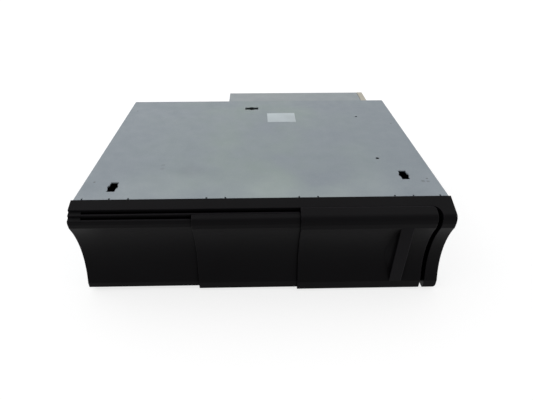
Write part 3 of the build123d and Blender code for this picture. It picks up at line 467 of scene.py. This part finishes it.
can_metal = plated("can_metal", rgb(190, 192, 194), 0.25)
rod_metal = plated("rod_metal", rgb(205, 206, 208), 0.15, scale=900.0)
screw_metal = plated("screw_metal", rgb(150, 153, 158), 0.35, scale=1500.0)
gold_metal = plated("gold_metal", rgb(206, 168, 96), 0.25, scale=1500.0)
ceramic = moulded("ceramic", rgb(118, 104, 86), 0.5, 0.4, 900.0)
lens_glass, lens_tree, lens_shader = new_material("lens_glass")
lens_haze = noise(lens_tree, place_input(lens_tree), 300.0, 1.0)
lens_tint = blend_colours(lens_tree, lens_haze, rgb(84, 104, 168), rgb(112, 138, 176))
lens_tree.links.new(lens_tint, lens_shader.inputs["Base Color"])
lens_gloss = spread(lens_tree, lens_haze, 0.3, 0.7, 0.04, 0.1)
lens_tree.links.new(lens_gloss, lens_shader.inputs["Roughness"])
lens_shader.inputs["Transmission Weight"].default_value = 0.6
paper = moulded("paper", rgb(192, 201, 205), 0.7, 0.2, 1200.0, 0.00002)
dress(can_metal, "spindle_motor", "feed_motor", "lift_motor")
dress(rod_metal, "guide_rods", "feed_screw", "eject_spring")
dress(screw_metal, "cover_screws")
dress(gold_metal, "connector_contacts")
dress(lens_glass, "pickup_lens")
dress(paper, "cover_label")
small_finishes = (can_metal, rod_metal, screw_metal, gold_metal, ceramic, lens_glass, paper)
print("small finishes", [finish.name for finish in small_finishes])

# %% [markdown]
# ## Printed board
# A circuit board shows copper tracks through its green lacquer. A Brick Texture gives lines
# that run square to each other with breaks, like tracks, without drawing any of them: its
# mortar is the track and its bricks are the bare lacquer.

# %% Printed board
def printed_board(name):
    material, tree, shader = new_material(name)
    place = place_input(tree)
    tracks = tree.nodes.new("ShaderNodeTexBrick")
    tracks.inputs["Scale"].default_value = 1.0
    tracks.inputs["Brick Width"].default_value = 0.0085
    tracks.inputs["Row Height"].default_value = 0.0021
    tracks.inputs["Mortar Size"].default_value = 0.00022
    tracks.inputs["Mortar Smooth"].default_value = 0.2
    tracks.inputs["Color1"].default_value = rgb(24, 78, 44)
    tracks.inputs["Color2"].default_value = rgb(28, 88, 50)
    tracks.inputs["Mortar"].default_value = rgb(62, 128, 74)
    tree.links.new(place, tracks.inputs["Vector"])
    haze = noise(tree, place, 120.0, 2.0)
    flux = spread(tree, haze, 0.3, 0.7, 0.0, 0.25)
    tint = blend_colours(tree, flux, tracks.outputs["Color"], rgb(20, 64, 40))
    tree.links.new(tint, shader.inputs["Base Color"])
    tree.links.new(spread(tree, haze, 0.3, 0.7, 0.28, 0.42), shader.inputs["Roughness"])
    bump(tree, shader, tracks.outputs["Fac"], 0.00003, 0.5)
    return material


board_green = printed_board("board_green")
dress(board_green, "main_board", "switch_board")
dressed = [slot.material for node in nodes.values() for slot in node.material_slots]
print("all nodes dressed", all(dressed))

# %% [markdown]
# ## Tools for turned and repeated pieces
# Screws, rings and lenses are turned on a lathe, so they are drawn as a list of radii and
# heights and turned about Z. The Screw modifier could do that too, but rings written in code
# close their seam and poles at once. What repeats is set out by Geometry Nodes: one tree per
# kind of row, with its sizes as named inputs, and the result becomes a plain mesh.

# %% Mesh and node helpers
MM = 0.001


def around_z(radius, angle, height):
    return (radius * MM * math.cos(angle), radius * MM * math.sin(angle), height * MM)


def turned(profile, segments=48, closed=False):
    vertices, faces, rings = [], [], []
    for radius, height in profile:
        start = len(vertices)
        if radius == 0:
            vertices.append((0.0, 0.0, height * MM))
            rings.append([start])
            continue
        for step in range(segments):
            angle = 2 * math.pi * step / segments
            vertices.append(around_z(radius, angle, height))
        rings.append(list(range(start, start + segments)))
    pairs = list(zip(rings, rings[1:])) + ([(rings[-1], rings[0])] if closed else [])
    for low, high in pairs:
        for step in range(segments):
            after = (step + 1) % segments
            if len(low) == 1:
                faces.append((low[0], high[after], high[step]))
            elif len(high) == 1:
                faces.append((low[step], low[after], high[0]))
            else:
                faces.append((low[step], low[after], high[after], high[step]))
    return vertices, faces


def block(x0, x1, y0, y1, z0, z1):
    outline = ((x0, y0), (x1, y0), (x1, y1), (x0, y1))
    vertices = [(x * MM, y * MM, z * MM) for z in (z0, z1) for x, y in outline]
    faces = [(3, 2, 1, 0), (4, 5, 6, 7), (0, 1, 5, 4), (1, 2, 6, 5), (2, 3, 7, 6), (3, 0, 4, 7)]
    return vertices, faces


def joined(*shapes):
    vertices, faces = [], []
    for shape_vertices, shape_faces in shapes:
        start = len(vertices)
        vertices += shape_vertices
        faces += [tuple(start + corner for corner in face) for face in shape_faces]
    return vertices, faces


def moved(shape, matrix):
    return [tuple(matrix @ Vector(vertex)) for vertex in shape[0]], shape[1]


def smooth_object(name, mesh, sharp_angle):
    for face in mesh.polygons:
        face.use_smooth = True
    mesh.set_sharp_from_angle(angle=math.radians(sharp_angle))
    mesh.name = name
    piece = bpy.data.objects.new(name, mesh)
    bpy.context.scene.collection.objects.link(piece)
    return piece


def make_object(name, shape, material=None, sharp_angle=35.0, edges=()):
    mesh = bpy.data.meshes.new(name)
    mesh.from_pydata(shape[0], edges, shape[1])
    mesh.update()
    if material:
        mesh.materials.append(material)
    return smooth_object(name, mesh, sharp_angle)


def evaluated_mesh(item):
    bpy.context.view_layer.update()
    graph = bpy.context.evaluated_depsgraph_get()
    return bpy.data.meshes.new_from_object(item.evaluated_get(graph), depsgraph=graph)


def lying_along_y(x, y, z, sign=-1):
    return Matrix.Translation((x, y, z)) @ Matrix.Rotation(math.radians(90 * sign), 4, "X")


def new_tree(name, inputs):
    tree = bpy.data.node_groups.new(name, "GeometryNodeTree")
    tree.interface.new_socket("Geometry", in_out="INPUT", socket_type="NodeSocketGeometry")
    for label, kind, value in inputs + [("Finish", "Material", None)]:
        socket = tree.interface.new_socket(label, in_out="INPUT", socket_type="NodeSocket" + kind)
        if value is not None:
            socket.default_value = value
    tree.interface.new_socket("Geometry", in_out="OUTPUT", socket_type="NodeSocketGeometry")
    entry = tree.nodes.new("NodeGroupInput")
    leave = tree.nodes.new("NodeGroupOutput")
    realize = tree.nodes.new("GeometryNodeRealizeInstances")
    paint = tree.nodes.new("GeometryNodeSetMaterial")
    tree.links.new(realize.outputs["Geometry"], paint.inputs["Geometry"])
    tree.links.new(entry.outputs["Finish"], paint.inputs["Material"])
    tree.links.new(paint.outputs["Geometry"], leave.inputs["Geometry"])
    return tree, entry, realize


def set_out(name, carrier, tree, values, sharp_angle=35.0):
    modifier = carrier.modifiers.new("set_out", "NODES")
    modifier.node_group = tree
    for item in tree.interface.items_tree:
        if item.item_type == "SOCKET" and item.in_out == "INPUT" and item.name in values:
            modifier[item.identifier] = values[item.name]
    mesh = evaluated_mesh(carrier)
    carrier.modifiers.remove(modifier)
    return smooth_object(name, mesh, sharp_angle)


def wire(tree, *pairs):
    for source, target in pairs:
        tree.links.new(source, target)


def remove(*items):
    for item in items:
        bpy.data.objects.remove(item)


def middle_of(node):
    low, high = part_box(node)
    return (low + high) / 2


print("helpers for turned and repeated pieces ready")

# %% [markdown]
# ## Cover screws
# Four pan-head screws hold the cover at its sides. The head is turned with a low dome, and a
# Boolean cuts the cross for the screwdriver, which is quicker to read than modelling the
# recess face by face. Geometry Nodes put one screw at each of the four places and turn its
# head away from the middle, by the sign of X.

# %% One screw
head_rise, head_radius, thread_pitch = 0.6, 2.8, 0.5
ridges = []
for ridge in range(6):
    ridges += [(1.5, -3.3 + thread_pitch * ridge), (1.2, -3.05 + thread_pitch * ridge)]
screw_profile = [(0, -3.6), (1.1, -3.6), (1.3, -3.45)] + ridges
screw_profile += [(1.45, -0.25), (1.45, 0.0), (2.72, 0.0), (head_radius, 0.07), (head_radius, 0.2)]
screw_profile += [(2.65, 0.36), (2.3, 0.49), (1.8, 0.57), (1.0, head_rise), (0, head_rise)]
screw = make_object("screw_model", turned(screw_profile, 40))
arm, wing = 1.35, 0.3
cross = [(wing, wing), (wing, arm), (-wing, arm), (-wing, wing), (-arm, wing), (-arm, -wing)]
cross += [(-wing, -wing), (-wing, -arm), (wing, -arm), (wing, -wing), (arm, -wing), (arm, wing)]
corners = [(x * MM, y * MM, z * MM) for z in (0.15, 1.2) for x, y in cross]
sides = [(i, (i + 11) % 12, (i + 11) % 12 + 12, i + 12) for i in range(12)]
caps = [tuple(range(12)), tuple(range(23, 11, -1))]
cutter = make_object("cross_cutter", (corners, sides + caps))
cut = screw.modifiers.new("cross", "BOOLEAN")
cut.object = cutter
cut.solver = "EXACT"
screw_mesh = evaluated_mesh(screw)
screw.modifiers.remove(cut)
screw.data = screw_mesh
remove(cutter)
print("one screw: faces", len(screw_mesh.polygons))

# %% Four screws
low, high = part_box("cover_screws")
screw_xs = (low.x + head_rise * MM, high.x - head_rise * MM)
screw_ys = (low.y + head_radius * MM, high.y - head_radius * MM)
screw_z = (low.z + high.z) / 2
carrier = make_object("screw_places", ([(x, y, screw_z) for x in screw_xs for y in screw_ys], []))
tree, entry, realize = new_tree(
    "screws_at_sides", [("Screw", "Object", None), ("Quarter turn", "Float", math.pi / 2)]
)
model = tree.nodes.new("GeometryNodeObjectInfo")
place = tree.nodes.new("GeometryNodeInputPosition")
split = tree.nodes.new("ShaderNodeSeparateXYZ")
sign = tree.nodes.new("ShaderNodeMath")
sign.operation = "SIGN"
turn_by = tree.nodes.new("ShaderNodeMath")
turn_by.operation = "MULTIPLY"
euler = tree.nodes.new("ShaderNodeCombineXYZ")
spot = tree.nodes.new("GeometryNodeInstanceOnPoints")
wire(
    tree,
    (entry.outputs["Screw"], model.inputs["Object"]),
    (place.outputs["Position"], split.inputs["Vector"]),
    (split.outputs["X"], sign.inputs[0]),
    (sign.outputs[0], turn_by.inputs[0]),
    (entry.outputs["Quarter turn"], turn_by.inputs[1]),
    (turn_by.outputs[0], euler.inputs["Y"]),
    (entry.outputs["Geometry"], spot.inputs["Points"]),
    (model.outputs["Geometry"], spot.inputs["Instance"]),
    (euler.outputs["Vector"], spot.inputs["Rotation"]),
    (spot.outputs["Instances"], realize.inputs["Geometry"]),
)
screws = set_out("cover_screw_heads", carrier, tree, {
    "Screw": screw, "Quarter turn": math.pi / 2, "Finish": screw_metal,
})
remove(screw, carrier)
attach(screws, "changer")
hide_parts("cover_screws")
print("screws: faces", len(screws.data.polygons))

# %% [markdown]
# ## Feed screw
# The pickup sled is driven by a thin screw beside the guide rods. Its thread is one surface:
# every vertex sits on a grid along and around the rod, and its radius follows how far it is
# round the helix. It has two starts and a lead of 5 mm, left-handed, so that a turn forward
# carries the sled back by that much. A Screw modifier would leave open ends and a seam.

# %% The thread
def threaded_rod(core, crest, lead, starts, length, around=28, rows_per_turn=24):
    rows = int(length / lead * rows_per_turn) + 1
    vertices = [(0.0, 0.0, 0.0)]
    for row in range(rows + 1):
        height = length * row / rows
        for step in range(around):
            phase = starts * (height / lead + step / around) % 1.0
            rise = max(0.0, 1.0 - abs(phase - 0.5) * 3.2)
            radius = core + (crest - core) * min(1.0, rise * 1.5)
            angle = 2 * math.pi * step / around
            vertices.append(around_z(radius, angle, height))
    vertices.append((0.0, 0.0, length * MM))
    last = len(vertices) - 1
    faces = []
    for step in range(around):
        after = (step + 1) % around
        faces.append((0, 1 + after, 1 + step))
        faces.append((last, last - around + step, last - around + after))
        for row in range(rows):
            base = 1 + row * around
            faces.append((base + step, base + after, base + around + after, base + around + step))
    return vertices, faces


low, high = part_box("feed_screw")
screw_middle = middle_of("feed_screw")
screw_long = (high.y - low.y) / MM
thread_core, thread_crest, thread_lead, thread_starts = 1.15, 1.6, 5.0, 2
thread = threaded_rod(thread_core, thread_crest, thread_lead, thread_starts, screw_long)
along_y = lying_along_y(screw_middle.x, low.y, screw_middle.z)
feed_thread = make_object("feed_screw_thread", moved(thread, along_y), rod_metal, 50.0)
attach(feed_thread, "feed_screw")
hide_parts("feed_screw")
print("thread: faces", len(feed_thread.data.polygons), "length", round(screw_long, 1), "mm")

# %% [markdown]
# ## Return spring
# The eject button is pushed back by four turns of fine round wire. A curve with a bevel would
# do, but the wire's rings are placed straight onto the helix here, so both cut ends are closed
# and the coil is exactly as wide as the CAD one.

# %% The coil
def coil(radius, thickness, turns, rise, per_turn=28, around=8):
    vertices, faces = [], []
    steps = turns * per_turn
    slope = rise / (turns * 2 * math.pi * radius)
    for step in range(steps + 1):
        angle = 2 * math.pi * step / per_turn
        outward = Vector((math.cos(angle), math.sin(angle), 0.0))
        along = Vector((-math.sin(angle), math.cos(angle), slope)).normalized()
        upward = outward.cross(along)
        centre = outward * radius + Vector((0.0, 0.0, rise * step / steps))
        for part in range(around):
            bend = 2 * math.pi * part / around
            offset = outward * (thickness * math.cos(bend)) + upward * (thickness * math.sin(bend))
            vertices.append(tuple((centre + offset) * MM))
    for step in range(steps):
        for part in range(around):
            after = (part + 1) % around
            base = step * around
            faces.append((base + part, base + around + part, base + around + after, base + after))
    faces.append(tuple(range(around)))
    faces.append(tuple(range((steps + 1) * around - 1, steps * around - 1, -1)))
    return vertices, faces


low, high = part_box("eject_spring")
spring_middle = middle_of("eject_spring")
coil_radius, wire_radius, coil_turns, end_room = 2.3, 0.24, 4, 0.25
spring_rise = (high.y - low.y) / MM - 2 * end_room
spring_shape = coil(coil_radius, wire_radius, coil_turns, spring_rise)
spring_place = lying_along_y(spring_middle.x, low.y + end_room * MM, spring_middle.z)
spring = make_object("eject_spring_coil", moved(spring_shape, spring_place), rod_metal, 60.0)
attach(spring, "changer")
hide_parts("eject_spring")
print("coil: faces", len(spring.data.polygons))

# %% [markdown]
# ## Pickup lens and turntable ring
# The pickup looks up through a small moulded lens in a black ring, and the disc sits on a thin
# rubber ring on the turntable. Both are turned: the lens as a low dome, the rings as closed
# loops of four or more corners.

# %% Lens, its ring and the rubber ring
lens_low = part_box("pickup_lens")[0]
lens_middle = middle_of("pickup_lens")
lens_place = Matrix.Translation((lens_middle.x, lens_middle.y, lens_low.z))
dome = [(0, 0.0), (2.35, 0.0), (2.35, 0.7), (2.1, 0.95), (1.6, 1.2), (1.0, 1.36), (0.5, 1.43)]
dome_shape = turned(dome + [(0, 1.45)], 40)
lens_dome = make_object("pickup_lens_dome", moved(dome_shape, lens_place), lens_glass)
ring = [(2.45, 0.0), (3.38, 0.0), (3.38, 1.2), (3.2, 1.4), (2.75, 1.4), (2.45, 1.1)]
ring_shape = turned(ring, 40, closed=True)
lens_ring = make_object("pickup_lens_ring", moved(ring_shape, lens_place), part_plastic)
for piece in (lens_dome, lens_ring):
    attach(piece, "pickup")
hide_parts("pickup_lens")
cone_rise = 1.6
table_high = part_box("turntable")[1].z - cone_rise * MM
table_middle = middle_of("turntable")
table_place = Matrix.Translation((table_middle.x, table_middle.y, table_high))
band = [(10.2, 0.0), (13.4, 0.0), (13.4, 0.22), (13.1, 0.34), (10.5, 0.34), (10.2, 0.22)]
band_shape = turned(band, 56, closed=True)
rubber_ring = make_object("turntable_ring", moved(band_shape, table_place), rubber)
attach(rubber_ring, "turntable")
turned_pieces = (lens_dome, lens_ring, rubber_ring)
print("lens and rings: faces", sum(len(piece.data.polygons) for piece in turned_pieces))

# %% [markdown]
# ## Main board
# The board's chips stand on bent legs. Each leg is a square wire that follows the bend of a
# gull's wing. Legs follow the sides of a chip, so the sides are drawn as loose edges first.

# %% Sides of the chips
board_low, board_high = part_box("main_board")
leg_pitch, side_inset = 0.0013, 1.6


def on_board(share_x, share_y):
    x = board_low.x + share_x * (board_high.x - board_low.x)
    y = board_low.y + share_y * (board_high.y - board_low.y)
    return x, y


# share of the board across and back, width, depth, and whether all four sides have legs
chip_places = ((0.14, 0.13, 20, 20, True), (0.46, 0.13, 12, 30, False), (0.69, 0.61, 14, 14, True))
side_points, side_edges = [], []
for share_x, share_y, wide, deep, four_sides in chip_places:
    x0, y0 = on_board(share_x, share_y)
    x1, y1 = x0 + wide * MM, y0 + deep * MM
    inset = side_inset * MM
    runs = [((x1, y0 + inset), (x1, y1 - inset)), ((x0, y1 - inset), (x0, y0 + inset))]
    if four_sides:
        runs += [((x0 + inset, y0), (x1 - inset, y0)), ((x1 - inset, y1), (x0 + inset, y1))]
    for start, end in runs:
        side_points += [(start[0], start[1], board_high.z), (end[0], end[1], board_high.z)]
        side_edges.append((len(side_points) - 2, len(side_points) - 1))
carrier = make_object("chip_sides", (side_points, []), edges=side_edges)
print("chip sides", len(side_edges))

# %% One leg
bend = [(-0.2, 1.15), (0.45, 1.15), (0.8, 0.95), (0.95, 0.25), (1.1, 0.12), (1.75, 0.12)]
leg_points, leg_faces = [], []
for out, rise in bend:
    for x, z in ((-0.2, -0.08), (0.2, -0.08), (0.2, 0.08), (-0.2, 0.08)):
        leg_points.append((x * MM, -out * MM, (rise + z) * MM))
for step in range(len(bend) - 1):
    for part in range(4):
        after = (part + 1) % 4
        here, beyond = 4 * step, 4 * step + 4
        leg_faces.append((here + part, here + after, beyond + after, beyond + part))
end = 4 * len(bend)
leg_faces += [(3, 2, 1, 0), (end - 4, end - 3, end - 2, end - 1)]
leg = make_object("leg_model", (leg_points, leg_faces))
print("one leg: faces", len(leg_faces))

# %% [markdown]
# ## Legs in their rows
# The tree resamples each side as a curve at the leg pitch and turns every leg square to it. An
# array modifier per side would need a count for each; here the pitch alone decides.

# %% Legs along the sides
tree, entry, realize = new_tree(
    "legs_along_sides", [("Leg", "Object", None), ("Leg pitch", "Float", leg_pitch)]
)
model = tree.nodes.new("GeometryNodeObjectInfo")
curve = tree.nodes.new("GeometryNodeMeshToCurve")
even = tree.nodes.new("GeometryNodeResampleCurve")
even.mode = "LENGTH"
tangent = tree.nodes.new("GeometryNodeInputTangent")
face_out = tree.nodes.new("FunctionNodeAlignEulerToVector")
face_out.axis = "X"
spot = tree.nodes.new("GeometryNodeInstanceOnPoints")
wire(
    tree,
    (entry.outputs["Leg"], model.inputs["Object"]),
    (entry.outputs["Geometry"], curve.inputs["Mesh"]),
    (curve.outputs["Curve"], even.inputs["Curve"]),
    (entry.outputs["Leg pitch"], even.inputs["Length"]),
    (even.outputs["Curve"], spot.inputs["Points"]),
    (tangent.outputs["Tangent"], face_out.inputs["Vector"]),
    (face_out.outputs["Rotation"], spot.inputs["Rotation"]),
    (model.outputs["Geometry"], spot.inputs["Instance"]),
    (spot.outputs["Instances"], realize.inputs["Geometry"]),
)
legs = set_out("chip_legs", carrier, tree, {
    "Leg": leg, "Leg pitch": leg_pitch, "Finish": can_metal,
}, 60.0)
remove(leg, carrier)
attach(legs, "changer")
print("legs: faces", len(legs.data.polygons))

# %% [markdown]
# ## Small ceramic parts
# Surface-mounted parts are tiny blocks with soft edges. They could be placed one by one, but the
# tree scatters them, with a fixed seed and a least distance, over patches of the board where no
# chip stands, so that none grows through a neighbour. About half are turned by a right angle.

# %% Free patches of the board and one part
patches = (
    (0.10, 0.40, 0.34, 0.49),
    (0.45, 0.66, 0.42, 0.70),
    (0.84, 0.96, 0.55, 0.92),
    (0.62, 0.73, 0.08, 0.50),
)
patch_points, patch_faces = [], []
for x0, x1, y0, y1 in patches:
    base = len(patch_points)
    for share in ((x0, y0), (x1, y0), (x1, y1), (x0, y1)):
        patch_points.append((*on_board(*share), board_high.z))
    patch_faces.append((base, base + 1, base + 2, base + 3))
carrier = make_object("free_patches", (patch_points, patch_faces))
part = make_object("ceramic_model", block(-1.0, 1.0, -0.6, 0.6, 0.0, 0.6))
soften = part.modifiers.new("soften", "BEVEL")
soften.width = 0.12 * MM
soften.segments = 2
print("patches", len(patches))

# %% Scatter the ceramic parts
least_distance, most_per_area, seed = 0.0045, 50000.0, 4
tree, entry, realize = new_tree("scattered_parts", [
    ("Part", "Object", None),
    ("Least distance", "Float", least_distance),
    ("Most per area", "Float", most_per_area),
    ("Seed", "Int", seed),
])
model = tree.nodes.new("GeometryNodeObjectInfo")
scatter = tree.nodes.new("GeometryNodeDistributePointsOnFaces")
scatter.distribute_method = "POISSON"
pick = tree.nodes.new("FunctionNodeRandomValue")
pick.data_type = "INT"
pick.inputs["Max"].default_value = 1
quarter = tree.nodes.new("ShaderNodeMath")
quarter.operation = "MULTIPLY"
quarter.inputs[1].default_value = math.pi / 2
euler = tree.nodes.new("ShaderNodeCombineXYZ")
spot = tree.nodes.new("GeometryNodeInstanceOnPoints")
picked = [output for output in pick.outputs if output.enabled][0]
wire(
    tree,
    (entry.outputs["Part"], model.inputs["Object"]),
    (entry.outputs["Geometry"], scatter.inputs["Mesh"]),
    (entry.outputs["Least distance"], scatter.inputs["Distance Min"]),
    (entry.outputs["Most per area"], scatter.inputs["Density Max"]),
    (entry.outputs["Seed"], scatter.inputs["Seed"]),
    (scatter.outputs["Points"], spot.inputs["Points"]),
    (picked, quarter.inputs[0]),
    (quarter.outputs[0], euler.inputs["Z"]),
    (euler.outputs["Vector"], spot.inputs["Rotation"]),
    (model.outputs["Geometry"], spot.inputs["Instance"]),
    (spot.outputs["Instances"], realize.inputs["Geometry"]),
)
ceramics = set_out("ceramic_parts", carrier, tree, {
    "Part": part, "Least distance": least_distance, "Most per area": most_per_area, "Seed": seed,
    "Finish": ceramic,
})
remove(part, carrier)
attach(ceramics, "changer")
print("ceramic parts: faces", len(ceramics.data.polygons))

# %% [markdown]
# ## Magazine grip
# The magazine is drawn out by a shallow pocket in its front wall. Nine rounded ribs in the
# pocket keep a finger from slipping: one rib is modelled, and a tree sets it out on a line
# whose count and spacing are inputs.

# %% One rib
case_low, case_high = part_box("magazine_case")
pocket_z0, pocket_z1 = 6.6, (case_high.z - case_low.z) / MM - 7.0
rib_half, rib_proud, rib_root = 0.5, 0.6, 0.9
rib_count, rib_pitch, first_rib = 9, 2.5, -10.0
angles = [math.radians(angle) for angle in range(180, 361, 20)]
outline = [(rib_half * math.cos(angle), rib_root + rib_proud * math.sin(angle)) for angle in angles]
rib_points = [(x * MM, y * MM, z * MM) for z in (pocket_z0, pocket_z1) for x, y in outline]
count = len(outline)
rib_faces = [(i, i + 1, i + 1 + count, i + count) for i in range(count - 1)]
rib_faces.append((count - 1, 0, count, 2 * count - 1))
rib_faces += [tuple(range(count - 1, -1, -1)), tuple(range(count, 2 * count))]
rib = make_object("rib_model", (rib_points, rib_faces))
print("one rib: faces", len(rib_faces))

# %% Ribs in the pocket
carrier = make_object("rib_start", ([(0.0, 0.0, 0.0)], []))
tree, entry, realize = new_tree("ribs_on_a_line", [
    ("Rib", "Object", None),
    ("Count", "Int", rib_count),
    ("First", "Vector", None),
    ("Step", "Vector", None),
])
model = tree.nodes.new("GeometryNodeObjectInfo")
line = tree.nodes.new("GeometryNodeMeshLine")
spot = tree.nodes.new("GeometryNodeInstanceOnPoints")
wire(
    tree,
    (entry.outputs["Rib"], model.inputs["Object"]),
    (entry.outputs["Count"], line.inputs["Count"]),
    (entry.outputs["First"], line.inputs["Start Location"]),
    (entry.outputs["Step"], line.inputs["Offset"]),
    (line.outputs["Mesh"], spot.inputs["Points"]),
    (model.outputs["Geometry"], spot.inputs["Instance"]),
    (spot.outputs["Instances"], realize.inputs["Geometry"]),
)
first = (middle_of("magazine_case").x + first_rib * MM, case_low.y, case_low.z)
ribs = set_out("magazine_grip_ribs", carrier, tree, {
    "Rib": rib, "Count": rib_count, "First": first, "Step": (rib_pitch * MM, 0.0, 0.0),
    "Finish": magazine_plastic,
})
remove(rib, carrier)
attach(ribs, "magazine")
print("grip ribs: faces", len(ribs.data.polygons))

# %% [markdown]
# ## Motor ends
# A small motor's can is rolled over a plastic end plate with a bearing boss and two solder
# tags. The plate is turned, the tags are thin blocks, and the three are joined in one mesh.

# %% End plates and tags
def motor_end(name, node, radius, lean):
    low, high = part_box(node)
    centre = (low + high) / 2
    face_y = high.y if lean > 0 else low.y
    place = lying_along_y(centre.x, face_y, centre.z, -lean)
    plate = [(0, -0.3), (radius * 0.8, -0.3), (radius * 0.8, 0.25), (radius * 0.74, 0.4)]
    plate += [(radius * 0.34, 0.4), (radius * 0.3, 1.1), (radius * 0.24, 1.25), (0, 1.25)]
    tags = []
    for side in (-1, 1):
        middle = side * radius * 0.55
        tags.append(block(middle - 0.7, middle + 0.7, -0.15, 0.15, 0.2, 2.4))
    piece = make_object(name, moved(joined(turned(plate, 40), *tags), place), part_plastic)
    return piece


lift_end = motor_end("lift_motor_end", "lift_motor", 9.6, 1)
feed_end = motor_end("feed_motor_end", "feed_motor", 4.8, -1)
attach(lift_end, "changer")
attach(feed_end, "play_unit")
print("motor ends: faces", len(lift_end.data.polygons) + len(feed_end.data.polygons))
